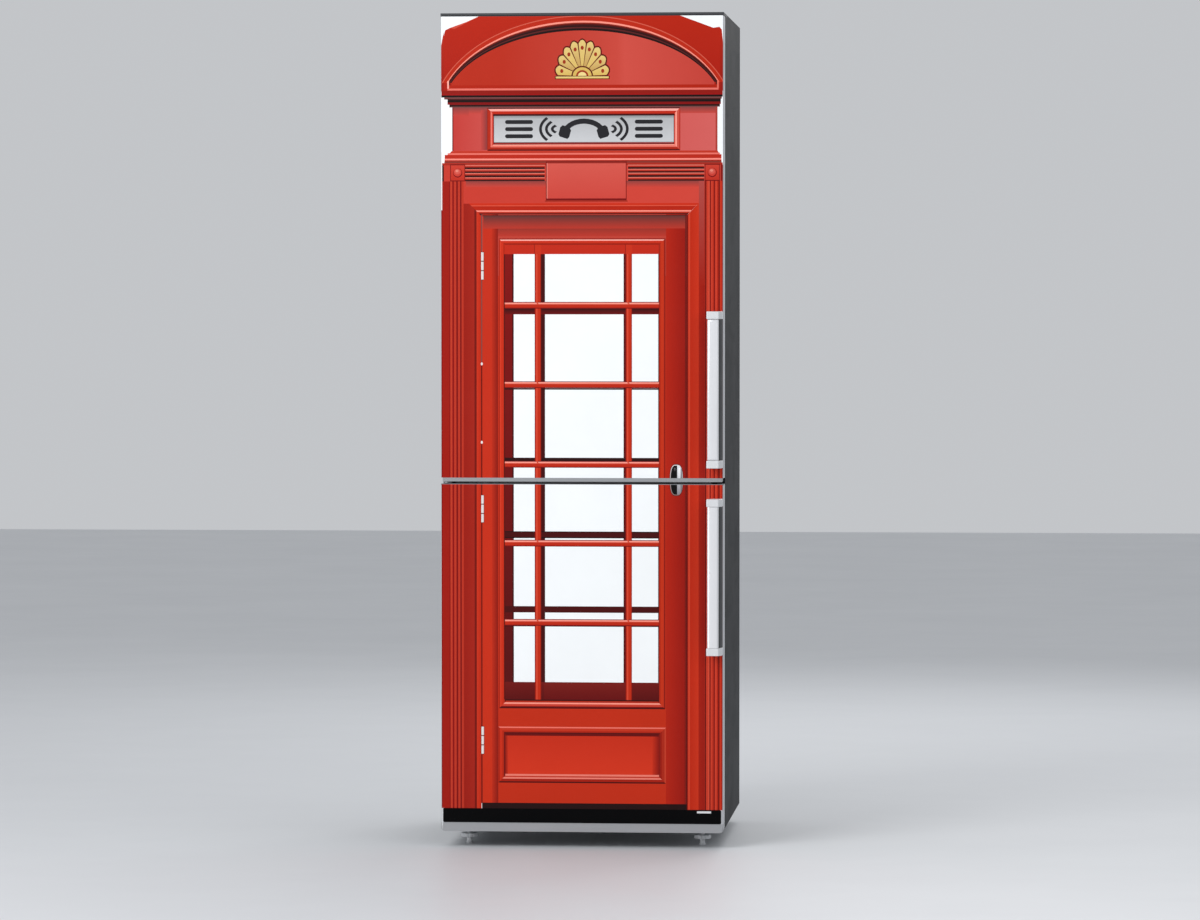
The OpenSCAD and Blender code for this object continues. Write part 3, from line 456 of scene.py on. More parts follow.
def drawRoof():
    bar(-300, 300, 60, 1752, "white")
    patch([(-299, 1590), (299, 1590), (299, 1686), (296, 1718), (291, 1724), (278, 1722), (203, 1750),
           (-214, 1750), (-270, 1722), (-280, 1724), (-290, 1719), (-299, 1684)], "ac2412", "b82a18")
    patch([(-299, 1590), (-293, 1590), (-293, 1716), (-299, 1684)], "9a2113", "b82d1c")
    patch([(293, 1590), (299, 1590), (299, 1686), (293, 1720)], "941f12", "b02a1a")
    patch([(-246, 1736), (-214, 1750), (-270, 1722), (-280, 1724)], "d0503f")
    archBand((1749, 299), (1747, 297), "d4604e")
    archBand((1747, 297), (1737.8, 288.5), "bc2e1c")
    for crown, depth, side, width, ink in (
            (1738, 3.8, 288.5, 1.8, "ff9886"), (1734.2, 2.6, 286.7, 1.2, "8b2719"),
            (1731.6, 3.4, 285.5, 1.6, "4d0f08"), (1728.2, 2.8, 283.9, 1.4, "2c0000"),
            (1725.4, 3.2, 282.5, 1.6, "5c2625"), (1722.2, 4.6, 280.9, 2.4, "220000")):
        archBand((crown, side), (crown - depth, side - width), ink)
    for a, b in zip(archTurns()[:-1], archTurns()[1:]):  # the field under the arch, lighter to the right
        p, q = archPoint(a, 1717.6, 278.5), archPoint(b, 1717.6, 278.5)
        shades = [between("b93222", "cf5146", 0.5 + x / 330) if x < 80
                  else between("cf5146", "c5443a", (x - 80) / 200) for x in (p[0], q[0])]
        patch([(p[0], 1602), (q[0], 1602), q, p], shades[0], shades[1], "x")
    bar(-282, 286, 1596, 1603, "b2290f")
    bar(-285, 289, 1592, 1596, "edge")
    bar(-285.5, -282, 1596, 1612, "ffb0a2")
    bar(286, 289.5, 1596, 1612, "e8705f")
    bar(-282, -279, 1603, 1612, "5a1008")
    bar(283.5, 286, 1603, 1612, "4a0c06")


fan = dict(x=1, z=1622, blades=9, reachX=57, reachZ=76)


def drawFan():  # gilt fan ornament with a small boss at its foot
    for grow, inkA, inkB in ((3, "670f06", "5e2306"), (0, "gold", "oldGold")):
        for i in range(fan["blades"]):
            turn = math.radians(180 * (i + 0.5) / fan["blades"])
            half = math.radians(90 / fan["blades"]) * (0.86 if grow == 0 else 1.05)
            tip = []
            for k in range(7):
                a = turn - half + 2 * half * k / 6
                reach = 0.9 + 0.1 * math.sin(math.pi * k / 6)
                tip.append((fan["x"] + (fan["reachX"] + grow) * reach * math.cos(a),
                            fan["z"] + (fan["reachZ"] + grow) * reach * math.sin(a)))
            patch([(fan["x"], fan["z"])] + tip, inkA if i % 2 == 0 else inkB, "e6c97e" if grow == 0 else None)
    for i in range(fan["blades"]):  # a red bead cut into each blade
        a = math.radians(180 * (i + 0.5) / fan["blades"])
        disc(fan["x"] + 44 * math.cos(a), fan["z"] + 59 * math.sin(a), 3.4, 4.4, "a03a22", 10)
    disc(fan["x"], fan["z"], 23, 21, "5e2306", 20, 0, 180)
    disc(fan["x"], fan["z"], 20, 18, "gold", 20, 0, 180)
    disc(fan["x"], fan["z"], 13, 12, "a03a22", 16, 0, 180)
    disc(fan["x"], fan["z"], 9, 8, "f0d890", 14, 0, 180)
    bar(fan["x"] - 58, fan["x"] + 58, fan["z"] - 7, fan["z"], "5e2306")
    bar(fan["x"] - 56, fan["x"] + 56, fan["z"] - 5.5, fan["z"] - 1.5, "gold", "f0d890")


def drawHead():  # cornice, frieze, sign and ledge
    for x0, x1, z, bands in (
            (-298, 298, 1592, ((1.3, "9a2414"), (6.5, "91201a"), (2.5, "a01a0f"), (4.5, "220000"))),
            (-292, 296, 1577.2, ((4.2, "4a1210", "8a5654"),)),
            (-285, 294, 1573, ((1.5, "3c0a08"), (4.6, "200000"), (5, "8c1a14", "7a120e"))),
            (-281, 292, 1561.9, ((2, "3c0806"), (1.8, "220404"), (2, "6e4644")))):
        stripes(x0, x1, z, bands)
    bar(-275, -200, 1462, 1556.1, "c4403a", "cc524c", "x")
    bar(-200, 287, 1462, 1556.1, "c83c32", "d66460", "x")
    bar(-275, -240, 1538, 1556.1, "c8463f", "8c4442")
    bar(-240, 287, 1543, 1556.1, "c84a42", "8a4644")
    bar(-214, -200.5, 1466, 1550, "c84a44", "8c3c3c", "x")
    bar(-275, -272.6, 1462, 1556, "7c160e")
    bar(283, 287, 1462, 1556, "b04038")
    moulding(-200.5, 208.5, 1464.5, 1555, (
        (2.2, "4a0a06", "a82a1a", "b63628", "4a0a06"), (1, "f0a098", "b8301f", "c8483c", "8c2014"),
        (4, "glint", "b8301f", "d05548", "b02c1c"), (3.4, "red", "edge", "ffa090", "e87262"),
        (2.4, "red", "lit", "d84f40", "ff9c8c"), (2.4, "4a0a06", "7c1810", "8c2418", "6a140c")))
    bar(-187, 195.5, 1481, 1539.5, "4c4d50")
    bar(-186, 194.5, 1482.5, 1538, "cdced0", "b4b5b7")
    bar(-186, 194.5, 1532, 1538, "b0b1b3", "8f9092")
    bar(-188.4, 196.6, 1538, 1541.4, "2e0a08", "5a120e")
    patch([(-276, 1464), (-291, 1450), (-292, 1436), (296, 1436), (295, 1450), (287, 1464)],
          "b83020", "c43a2a")
    bar(-285, 292, 1456, 1459.5, "edge")
    bar(-291, 295.4, 1448, 1456, "bc2f21")
    bar(-291, 295.4, 1444.6, 1448, "spark")
    bar(-291, 295.4, 1442.4, 1444.6, "b02c1e")
    bar(-291, 295.4, 1438.6, 1442.4, "893831")


sign = dict(x=4.5, z=1510, rings=3)


def arcStroke(cx, cz, rx, rz, start, stop, width, ink, count=12):
    outer = [(cx + rx * math.cos(math.radians(start + (stop - start) * k / count)),
              cz + rz * math.sin(math.radians(start + (stop - start) * k / count))) for k in range(count + 1)]
    inner = [(cx + (rx - width) * math.cos(math.radians(stop + (start - stop) * k / count)),
              cz + (rz - width) * math.sin(math.radians(stop + (start - stop) * k / count)))
             for k in range(count + 1)]
    patch(outer + inner, ink)


def drawSign():  # a plain ringing handset between ruled lines, in place of lettering
    cx, cz = sign["x"], sign["z"]
    arcStroke(cx, cz - 12, 47, 34, 22, 158, 11, "mark")
    for side in (-1, 1):
        patch([(cx + side * x, cz + z) for x, z in ((27, -3), (31, -17), (35, -21), (51, -16), (54, -11),
                                                    (50, 4), (45, 8), (31, 4))], "mark")
        for i in range(sign["rings"]):
            middle = 0 if side > 0 else 180
            arcStroke(cx + side * 36, cz, 34 + 12.5 * i, 14 + 12 * i, middle - 42, middle + 42, 6, "mark")
        for z in (15, 0, -15):
            inner, outer = cx + side * 112, cx + side * 163
            bar(min(inner, outer), max(inner, outer), cz + z - 4.2, cz + z + 4.2, "mark")
            for x in (inner, outer):
                disc(x, cz + z, 4.2, 4.2, "mark", 14)


def drawArchitrave():  # reeds, corner bosses and the blank plaque
    bar(-298, 298, 1353, 1438.6, "c83e32", "d44a3e", "x")
    bar(-298, 298, 1434, 1438.6, "a02a20", "b83428")
    bar(-299, -293, 1400, 1434, "3a0a08")
    bar(293.5, 299, 1400, 1434, "8a2018")
    bar(-246, 260, 1388, 1400.6, "cc463c", "8e4440")
    for x0, x1 in ((-248, -78.5), (98, 259)):
        bar(x0, x1, 1400.4, 1430.3, "3c0604")
        for z in (1434.4, 1425.6, 1417.5, 1408.4):
            bar(x0, x1, z - 4.8, z - 2.6, "b22e20")
            bar(x0, x1, z - 2.6, z, "c8483a", "ee8474")
    for x in (-263.5, 276):
        bar(x - 16, x + 16, 1400, 1436, "74150e")
        bar(x - 14.5, x + 14.5, 1402, 1434, "c03426", "cc4234")
        disc(x, 1417.8, 9.6, 9.8, "7c180f")
        disc(x - 0.4, 1418.8, 8.4, 8.4, "cc4438")
        disc(x - 0.8, 1420.4, 6, 5.4, "d65c50", 20)
        disc(x - 1.4, 1422, 3.2, 2.6, "e88878", 16)
    bar(-76, 95, 1359.5, 1441.5, "7c160e")
    bar(-74.3, 93.3, 1363.5, 1440, "cf4a40", "d65a4f")
    bar(-74.3, 93.3, 1437.5, 1440, "9a3028")
    bar(-74.3, -72.5, 1363.5, 1438, "e88274")
    bar(-78, 97, 1356.5, 1359.5, "a83226")


def drawPilasters():
    flutes(-298.5, 64, 1400, (
        (2.5, "8e1c12"), (14.5, "a02216"), (2, "8a190e"), (4.4, "c23e2c"), (3.6, "8e180a"),
        (4.8, "be3a29"), (3.6, "821608"), (4.6, "be3a29"), (3, "7c140a"), (4.5, "bc3828")))
    bar(-298.5, -296.5, 1339, 1462, "f4f0f0")
    flutes(259.5, 64, 1400, (
        (2, "a4261a"), (2.2, "661209"), (4.4, "cc402d"), (2.6, "d64f3a"), (2.4, "7c170d"),
        (4, "cc402d"), (2.8, "b83020"), (2.2, "7c170d"), (4.4, "d0422e"), (3, "b02a1c"),
        (2.4, "661209"), (4.5, "c83824"), (2.6, "9c2216")))


leaf = dict(x0=-212.5, x1=221, z0=82, z1=1330)  # the kiosk's own door


def drawLeafFrame():
    x0, x1, z0, z1 = leaf["x0"], leaf["x1"], leaf["z0"], leaf["z1"]
    flutes(-251, 64, 1353, ((23.5, "9c241b"), (4.5, "86200f"), (3.5, "b82c1a"), (6, "cc3420")))
    patch([(-251, 1353), (-240, 1353), (-228, 1341), (-228, 64), (-251, 64)], "9c241b", "a62a20", "x")
    patch([(-228, 64), (-223.5, 64), (-223.5, 1339), (-228, 1342)], "781e14")
    patch([(-223.5, 64), (-213.5, 64), (-213.5, 1331), (-223.5, 1340)], "d03a24", "bc2c1a", "x")
    bar(x1, 224.5, 64, z1, "6e1909")
    patch([(224.5, 64), (247.7, 64), (247.7, 1353.5), (224.5, 1330)], "bc2c1a", "cc3822", "x")
    patch([(226, 64), (229.4, 64), (229.4, 1335), (226, 1331.6)], "d2462f")
    patch([(247.7, 64), (259.5, 64), (259.5, 1353.5), (247.7, 1353.5)], "a8261a", "9c2115", "x")
    bar(247.7, 259.5, 1180, 1400, "a4251a", "b24c46")
    patch([(-240, 1353.5), (-214, 1327.5), (221.7, 1327.5), (247.7, 1353.5)], "c22e1c")
    for a, depth, ink in ((0, 4.5, "cc3420"), (4.5, 1.6, "dc5a46"), (6.1, 8.9, "b82a1a"),
                          (15, 3, "ff9282"), (18, 3.2, "b83424"), (21.2, 4.2, "520d0a")):
        b = a + depth
        patch([(-240 + a, 1353.5 - a), (-240 + b, 1353.5 - b),
               (247.7 - b, 1353.5 - b), (247.7 - a, 1353.5 - a)], ink)
    bar(x0, x1, z0, z1, "bd3a2e", "bf4438")
    bar(x0, x1, z0, 1200, "c4341f")
    bar(-210, -191, z0, z1, "cc3620", "c63422")
    bar(-191, -178, z0, z1, "c03220", "8a2014", "x")
    bar(178.5, 219, z0, z1, "b62a1c", "9a2018", "x")
    bar(-178, 178.5, 1284, 1322, "bc3b30", "54302b")
    bar(-209, 219, 1300, 1328, "bc3b2f", "5c3836")
    bar(-211, 221, 1326, 1328.4, "6a3a36", "3a1410")
    for x in (219, 222):
        bar(x - 0.2, x + 1.4, z0, z1, "5a0a04")
    bar(-213.8, -211.6, 1015, z1, "7c4a48")
    bar(-213.8, -211.6, z0, 1015, "5a0500")
    for z in (1014, 848):
        disc(-212.5, z, 2.2, 3.2, "f0e8e6", 12)
    bar(x0, 223, 64, 83, "2a0602")


panes = dict(x0=-163.5, x1=163.5, z0=302.5, z1=1246,
             rails=(1138, 970, 801.5, 634.5, 466.5), stiles=(-93, 99.8))


def drawWindow():
    moulding(-176, 177, 284, 1279, (
        (2, "8c2014", "a82a1c", "7a1810", "3a0502"), (2.8, "glint", "d8402a", "c03420", "7a1610"),
        (4.6, "lit", "cc3420", "c83820", "d04434"), (3.2, "a82818", "b42c1a", "b8301e", "ff9c8c"),
        (1.6, "48100a", "6a1008", "6a1008", "b02c1c")))
    x0, x1, z0, z1 = panes["x0"], panes["x1"], panes["z0"], panes["z1"]
    bar(x0, x1, z0, 1266, "c33020")
    for a in panes["stiles"]:
        bar(a - 6.5, a + 6.5, z1, 1266, "ca3622")
        bar(a - 7.5, a - 6.5, z1, 1266, "7a1810")
    bar(x0, x1, z0, z1, "white")
    bar(x0, -146, z0, z1, "58121a", "841a16")  # depth of the opening seen at its left
    bar(-147.5, -144.5, z0, z1, "421214")
    bar(x0 - 1.6, x0, z0, z1, "3a0806")
    bar(-86.5, -78, z0, z1, "460805")
    bar(88.6, 93.5, z0, z1, "5c1410")
    bar(162, 164, z0, z1, "5c1410")
    for z, depth, ink in ((1131.3, 12.5, "6e1912"), (962.8, 3.2, "2c0402"), (815.6, 7, "280000"),
                          (659.4, 14, "4b1214"), (501, 13.4, "4c1216"), (460, 2, "2c0402")):
        bar(x0, x1, z - depth, z, ink, "380a08" if depth < 12.6 else None)
    bar(x0, x1, 658, 659.6, "140404")
    bar(x0, x1, 645.2, 647, "140404")
    bar(x0, x1, z0, 340, "5e1618", "74201e")
    bar(-80, 93, z0, 338, "69191a", "7c2420")
    for a in panes["stiles"]:
        bar(a - 7, a + 6.6, z0, z1, "c4331e")
        bar(a - 7, a - 5.4, z0, z1, "8c1e12")
        bar(a - 4, a - 1, z0, z1, "d84a34")
        bar(a + 5, a + 6.6, z0, z1, "9c2414")
    for z in panes["rails"]:
        bar(x0, x1, z - 7, z + 7.2, "c0301e")
        bar(x0, x1, z + 5.6, z + 7.2, "7a1810")
        bar(x0, x1, z + 2.6, z + 5.6, "ff9c8c")
        bar(x0, x1, z + 1, z + 2.6, "d4503c")
        bar(x0, x1, z - 7, z - 5, "80180c")
    for a in panes["stiles"]:  # the bars meet in small mitres
        for z in panes["rails"]:
            patch([(a - 4, z + 7.2), (a - 1, z + 7.2), (a + 2, z + 2), (a - 2, z + 2)], "d84a34")
    bar(x0, x1, 300, 302.8, "3a0806")


def drawKickPanel():
    moulding(-177.5, 178.5, 126, 245, (
        (2.8, "f0796a", "a82a1c", "c84430", "4c0a06"), (5.6, "c83a26", "cc3420", "b03020", "a82618"),
        (3.4, "b42c1c", "b62c1a", "a02416", "ee8272"), (2.6, "5a0d08", "70140c", "88201a", "c43a2a")))
    bar(-163, 164, 140.5, 230.6, "d83c26", "c83421")
    bar(-163, -157, 140.5, 230.6, "8a2014", "c83421", "x")
    bar(150, 164, 140.5, 230.6, "c83421", "8c1e14", "x")
    bar(-163, 164, 226, 230.6, "6a120c")
    bar(-163, 164, 140.5, 144.5, "ee8272")


def slotShape(x, z, rx, rz, ink, ink2=None, fromX=-1000):  # round-ended upright slot, drawn right of fromX
    corners = []
    for i in range(48):
        a = math.radians(7.5 * i)
        c, d = math.cos(a), math.sin(a)
        corners.append((max(fromX, x + rx * math.copysign(abs(c) ** 0.62, c)),
                        z + rz * math.copysign(abs(d) ** 0.86, d)))
    patch(corners, ink2 or ink, ink)


def drawFurniture():  # hinges and the oval finger pull of the kiosk's door
    for z0, z1 in ((1192.5, 1250), (678.5, 735.5), (187, 244.5)):
        third = (z1 - z0 - 4) / 3
        for i in range(3):
            low = z0 + i * (third + 2)
            bar(-214.4, -207.6, low - 0.8, low + third + 0.8, "4a1a16")
            bar(-213.6, -208.4, low, low + third, "f6f2f0", "d8c8c6", "x")
    px, pz = 200.5, 769
    slotShape(px, pz, 14.6, 33.6, "4c100a")
    slotShape(px, pz, 13.6, 32.4, "e4dcdc", "8e7470")
    slotShape(px, pz, 12.2, 30.8, "050304")
    slotShape(px, pz, 12.2, 30.8, "e8eaee", "8b888e", fromX=px + 1.6)
    slotShape(px + 10.4, pz, 1.8, 25, "8d8f96", "77747a")
    slotShape(px + 6.2, pz + 13, 2.6, 13, "ffffff", "d8dade")
    slotShape(px - 3.4, pz + 22, 1.8, 4, "6a6468", "1c181a")


for draw in (drawRoof, drawFan, drawHead, drawSign, drawArchitrave, drawPilasters, drawLeafFrame, drawWindow,
             drawKickPanel, drawFurniture):
    draw()
print("kiosk drawn in", len(picture["faces"]), "patches")


def layPicture():  # one flat mesh of all the patches, the last painted on top
    points, _, faces, _, _, owners = delaunay_2d_cdt(
        [p.to_2d() for p in picture["corners"]], [], picture["faces"], 1, 1e-4, True)
    mesh = bpy.data.meshes.new("picture")
    mesh.from_pydata([(p.x * mm, 0, p.y * mm + pictureLift) for p in points], [], faces)
    mesh.update()
    layer = mesh.color_attributes.new("ink", "FLOAT_COLOR", "CORNER")
    shades = [0.0] * (4 * len(mesh.loops))
    for f in mesh.polygons:
        axis, low, high, first, second = picture["inks"][max(owners[f.index], default=1)]
        for i in f.loop_indices:
            spot = points[mesh.loops[i].vertex_index]
            t = min(1, max(0, (spot[axis] - low) / max(1e-6, high - low)))
            shades[4 * i:4 * i + 4] = [*first.lerp(second, t), 1]
    layer.data.foreach_set("color", shades)
    flat = bpy.data.objects.new("picture", mesh)
    scene.collection.objects.link(flat)
    return flat


def makeVinyl():
    look = dict(colour="ffffff", second="ffffff", rough=(0.3, 0.42), grain=900, relief=0.08, depth=0.0001,
                shine=0.16, coat=0.03, coatRough=0.15, smear=0.35)
    vinyl = makeFinish("printed vinyl", look)
    tree = vinyl.node_tree
    link = tree.links.new
    shader = tree.nodes["Principled BSDF"]
    grain = [n for n in tree.nodes if n.type == "GROUP" and n.node_tree == grainGroup][0]
    for n in [n for n in tree.nodes if n.type == "MIX"]:
        tree.nodes.remove(n)
    ink = addNode(tree, "ShaderNodeAttribute", -900, 400, attribute_name="ink")
    drift = addNode(tree, "ShaderNodeMapRange", -600, 200)  # slight unevenness of the print
    drift.inputs["To Min"].default_value = 0.86
    drift.inputs["To Max"].default_value = 0.94
    uneven = addNode(tree, "ShaderNodeVectorMath", -200, 300, operation="SCALE")
    link(grain.outputs["Mottle"], drift.inputs["Value"])
    link(ink.outputs["Color"], uneven.inputs[0])
    link(drift.outputs["Result"], uneven.inputs["Scale"])
    link(uneven.outputs[0], shader.inputs["Base Color"])
    return vinyl


vinyl = makeVinyl()


def cutFilm(flat, name, nodeName, body, z0=0, z1=2000):  # the piece of the picture that one door wears
    low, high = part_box(nodeName)
    low.z = max(low.z, z0 * mm + pictureLift)
    high.z = min(high.z, z1 * mm + pictureLift)
    film = flat.copy()
    film.data = flat.data.copy()
    film.name = name
    film.data.name = name
    scene.collection.objects.link(film)
    for place, way in ((low, (-1, 0, 0)), (low, (0, 0, -1)), (high, (1, 0, 0)), (high, (0, 0, 1))):
        cutAcross(film, place, way, clear_outer=True, threshold=1e-7)
    faceOutward(film)
    paint(film, vinyl)
    if film.data.polygons[0].normal.y > 0:
        film.data.flip_normals()
    film.location.y = low.y
    settle(film)
    uv = film.data.uv_layers.new(name="OFBake")
    wide, tall = high.x - low.x, high.z - low.z
    for loop in film.data.loops:
        co = film.data.vertices[loop.vertex_index].co
        uv.data[loop.index].uv = (0.01 + 0.98 * (co.x - low.x) / wide,
                                  0.02 + 0.97 * (co.z - low.z) / tall)
    thick = film.modifiers.new("thickness", "SOLIDIFY")
    thick.thickness = high.y - low.y
    thick.offset = -1
    applyAll(film)
    uv = film.data.uv_layers["OFBake"]
    for f in film.data.polygons:  # back and rim share a thin strip, so the front keeps its sharpness
        if f.normal.y > -0.5:
            for i in f.loop_indices:
                u, v = uv.data[i].uv
                uv.data[i].uv = (u, 0.002 + 0.01 * v)
    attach(film, body)
    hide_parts(nodeName)
    return film


flatPicture = layPicture()
films = [cutFilm(flatPicture, "upper_film_head", "upper_door_film", "upper_door", z0=1438.6),
         cutFilm(flatPicture, "upper_film_window", "upper_door_film", "upper_door", z1=1438.6),
         cutFilm(flatPicture, "lower_film", "lower_door_film", "lower_door")]
bpy.data.objects.remove(flatPicture)
print("films laid:", [len(film.data.polygons) for film in films], "faces")

# handles, feet and badge

handle = dict(wide=24, deep=14, frontRound=5.5, backRound=2, seam=0.5)
capFinish = makeFinish("handle cap", dict(colour="e2e3e5", second="d4d6d9", metal=0.25, rough=(0.3, 0.42),
                                          grain=1300, relief=0.2, smear=0.2))
wingFinish = makeFinish("handle wing", dict(colour="1e2023", second="292b2e", shine=0.2, rough=(0.35, 0.5),
                                            grain=900, stretch=(1, 1, 0.02), relief=0.15))


def makeHandleBar(name, nodeName, body):
    low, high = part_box(nodeName)
    barLow = Vector((low.x, low.y, low.z + handle["seam"] * mm))
    barHigh = Vector((low.x + handle["wide"] * mm, low.y + handle["deep"] * mm,
                      high.z - handle["seam"] * mm))
    rail = block(name, barLow, barHigh)
    middle = (barLow + barHigh) / 2
    for side, width, segments in ((-1, handle["frontRound"], 6), (1, handle["backRound"], 3)):
        pickEdges(rail, lambda a, b: abs(a.z - b.z) > 0.1 and (a.y - middle.y) * side > 0)
        roundPicked(width, segments)
    pickFaces(rail, lambda c, n: abs(n.z) > 0.9)
    sinkPicked(1.2, 0.4, use_individual=True)
    rail.data.materials.append(mats["handle_aluminium"])
    rail.data.materials.append(wingFinish)
    wing = block(name + "_wing", (barHigh.x - 3 * mm, barHigh.y - 5 * mm, barLow.z),
                 (high.x, high.y, barHigh.z))
    for v in wing.data.vertices:  # slanted from the bar's back down to the film
        near = v.co.y < barHigh.y
        outer = v.co.x > barHigh.x
        v.co.x = (barHigh.x - (0.4 if outer else 3.6) * mm if near
                  else high.x - (0 if outer else 4 * mm))
    pickEdges(wing, lambda a, b: abs(a.z - b.z) > 0.1)
    roundPicked(0.5, 2)
    wing.data.materials.append(mats["handle_aluminium"])
    wing.data.materials.append(wingFinish)
    for f in wing.data.polygons:
        f.material_index = 1
    deselectAll()
    wing.select_set(True)
    rail.select_set(True)
    bpy.context.view_layer.objects.active = rail
    bpy.ops.object.join()
    smooth(rail, 40)
    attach(rail, body)
    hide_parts(nodeName)


for door in ("upper", "lower"):
    makeHandleBar(door + "_handle", door + "_handle_bar", door + "_door")
    paint(cadNodes[door + "_handle_posts"], capFinish)
print("handles made")

footFinish = makeFinish("levelling foot", dict(colour="d6d8da", second="c6c8cb", metal=0.1, rough=(0.4, 0.55),
                                               grain=900, relief=0.25, smear=0.3))
for side in ("left", "right"):
    paint(cadNodes["foot_" + side], footFinish)
print("feet painted")

badge = dict(wide=30, tall=4.4, thick=0.7, fromEdge=21, below=2.6)
plinthLow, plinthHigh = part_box("plinth_strip")
plate = block("blank_badge",
              (plinthHigh.x - (badge["fromEdge"] + badge["wide"]) * mm, plinthLow.y - badge["thick"] * mm,
               plinthHigh.z - (badge["below"] + badge["tall"]) * mm),
              (plinthHigh.x - badge["fromEdge"] * mm, plinthLow.y + 0.1 * mm,
               plinthHigh.z - badge["below"] * mm))
pickEdges(plate, lambda a, b: abs(a.y - b.y) > 1e-5)
roundPicked(1.2, 4)
pickFaces(plate, lambda c, n: n.y < -0.9)
sinkPicked(0.35, 0.2)
smooth(plate)
paint(plate, capFinish)
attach(plate, "lower_door")
print("badge made")

# inside: drawer fronts, gaskets, lamp lens and dial marks

boardFinish = makeFinish("bay board", dict(colour="4b4d50", second="5b5e61", rough=(0.5, 0.7), grain=260,
                                           mottle=20, relief=0.4, dust=0.3))
paint(cadNodes["cabinet_foam"], boardFinish)
rimFinish = makeFinish("drawer rim", dict(colour="dfe3e6", second="cfd5d9", rough=(0.25, 0.4), grain=900,
                                          relief=0.15, smear=0.3))
front = dict(ribs=3, ribTall=3, proud=0.6, rimTall=9, side=16, notch=50, label=(64, 22))


def joinAll(pieces):
    deselectAll()
    for piece in pieces:
        piece.select_set(True)
    bpy.context.view_layer.objects.active = pieces[0]
    bpy.ops.object.join()
    return pieces[0]


def makeDrawerFace(nodeName, body):  # rim beside the finger notch, ribs and a blank label frame
    low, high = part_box(nodeName)
    back, ahead = low.y + 0.4 * mm, low.y - front["proud"] * mm
    middle = (low.x + high.x) / 2
    parts = []
    for side in (-1, 1):
        a = middle + side * (front["notch"] + 4) * mm
        b = middle + side * ((high.x - low.x) / 2 - 5 * mm)
        rim = block(nodeName + "_rim", (min(a, b), ahead, high.z - (front["rimTall"] + 2) * mm),
                    (max(a, b), back, high.z - 2 * mm))
        parts.append(rim)
    for i in range(front["ribs"]):
        z = low.z + (high.z - low.z) * (0.16 + 0.1 * i)
        parts.append(block(nodeName + "_rib", (low.x + front["side"] * mm, ahead, z),
                           (high.x - front["side"] * mm, back, z + front["ribTall"] * mm)))
    wide, tall = (v * mm for v in front["label"])
    z = low.z + (high.z - low.z) * 0.5
    frameBlock = block(nodeName + "_label", (middle - wide / 2, ahead, z),
                       (middle + wide / 2, back, z + tall))
    pickFaces(frameBlock, lambda c, n: n.y < -0.9)
    sinkPicked(2, 0.5)
    parts.append(frameBlock)
    face = joinAll(parts)
    face.name = nodeName + "_face"
    soften(face, 0.25 * mm, 2)
    smooth(face)
    paint(face, rimFinish)
    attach(face, body)


for nodeName in ("crisper_left", "crisper_right", "freezer_drawer_top", "freezer_drawer_middle",
                 "freezer_drawer_bottom"):
    makeDrawerFace(nodeName, nodeName)
print("drawer fronts made")

seal = dict(wide=14, folds=3, firstFold=0.22, foldStep=0.19)


def makeGasket(nodeName, body):  # soft bellows frame round the door's edge
    low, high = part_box(nodeName)
    deselectAll()
    middle = (low + high) / 2
    bpy.ops.mesh.primitive_plane_add(size=1, location=(middle.x, high.y, middle.z),
                                     rotation=(math.pi / 2, 0, 0))
    ring = bpy.context.object
    ring.name = nodeName + "_bellows"
    ring.scale = (high.x - low.x, high.z - low.z, 1)
    settle(ring)
    if ring.data.polygons[0].normal.y < 0:
        ring.data.flip_normals()
    editAll(ring)
    bpy.ops.mesh.inset(thickness=seal["wide"] * mm)
    bpy.ops.mesh.delete(type="FACE")
    bpy.ops.mesh.select_all(action="SELECT")
    bpy.ops.mesh.inset(thickness=2.2 * mm, use_boundary=True)  # the magnet's pad stands highest
    bpy.ops.object.mode_set(mode="OBJECT")
    depth = high.y - low.y

    def fromRim(co):
        return min(co.x - low.x, high.x - co.x, co.z - low.z, high.z - co.z)

    for v in ring.data.vertices:
        edge = fromRim(v.co)
        if edge < 1 * mm or edge > (seal["wide"] - 1) * mm:
            v.co.y = high.y - depth * 0.16
    thick = ring.modifiers.new("body", "SOLIDIFY")
    thick.thickness = depth * 0.8
    thick.offset = -1
    applyAll(ring)
    faceOutward(ring)
    for i in range(seal["folds"]):  # grooves between the folds
        cutAcross(ring, (0, low.y + depth * (seal["firstFold"] + seal["foldStep"] * i), 0), (0, 1, 0))
    for v in ring.data.vertices:
        edge = fromRim(v.co)
        fold = (v.co.y - low.y) / depth
        if 0.1 < fold < 0.75 and edge < 1 * mm:
            groove = round((fold - seal["firstFold"]) / seal["foldStep"])
            pull = 1.1 * mm if groove % 2 == 0 else 0
            if v.co.x - low.x < 1 * mm:
                v.co.x += pull
            if high.x - v.co.x < 1 * mm:
                v.co.x -= pull
            if v.co.z - low.z < 1 * mm:
                v.co.z += pull
            if high.z - v.co.z < 1 * mm:
                v.co.z -= pull
    ymin = min(v.co.y for v in ring.data.vertices)
    for v in ring.data.vertices:
        if v.co.y - ymin < 0.01 * mm:
            v.co.y = low.y
    smooth(ring, 50)
    paint(ring, mats["gasket_grey"])
    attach(ring, body)
    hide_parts(nodeName)


makeGasket("upper_door_gasket", "upper_door")
makeGasket("lower_door_gasket", "lower_door")
print("gaskets made")

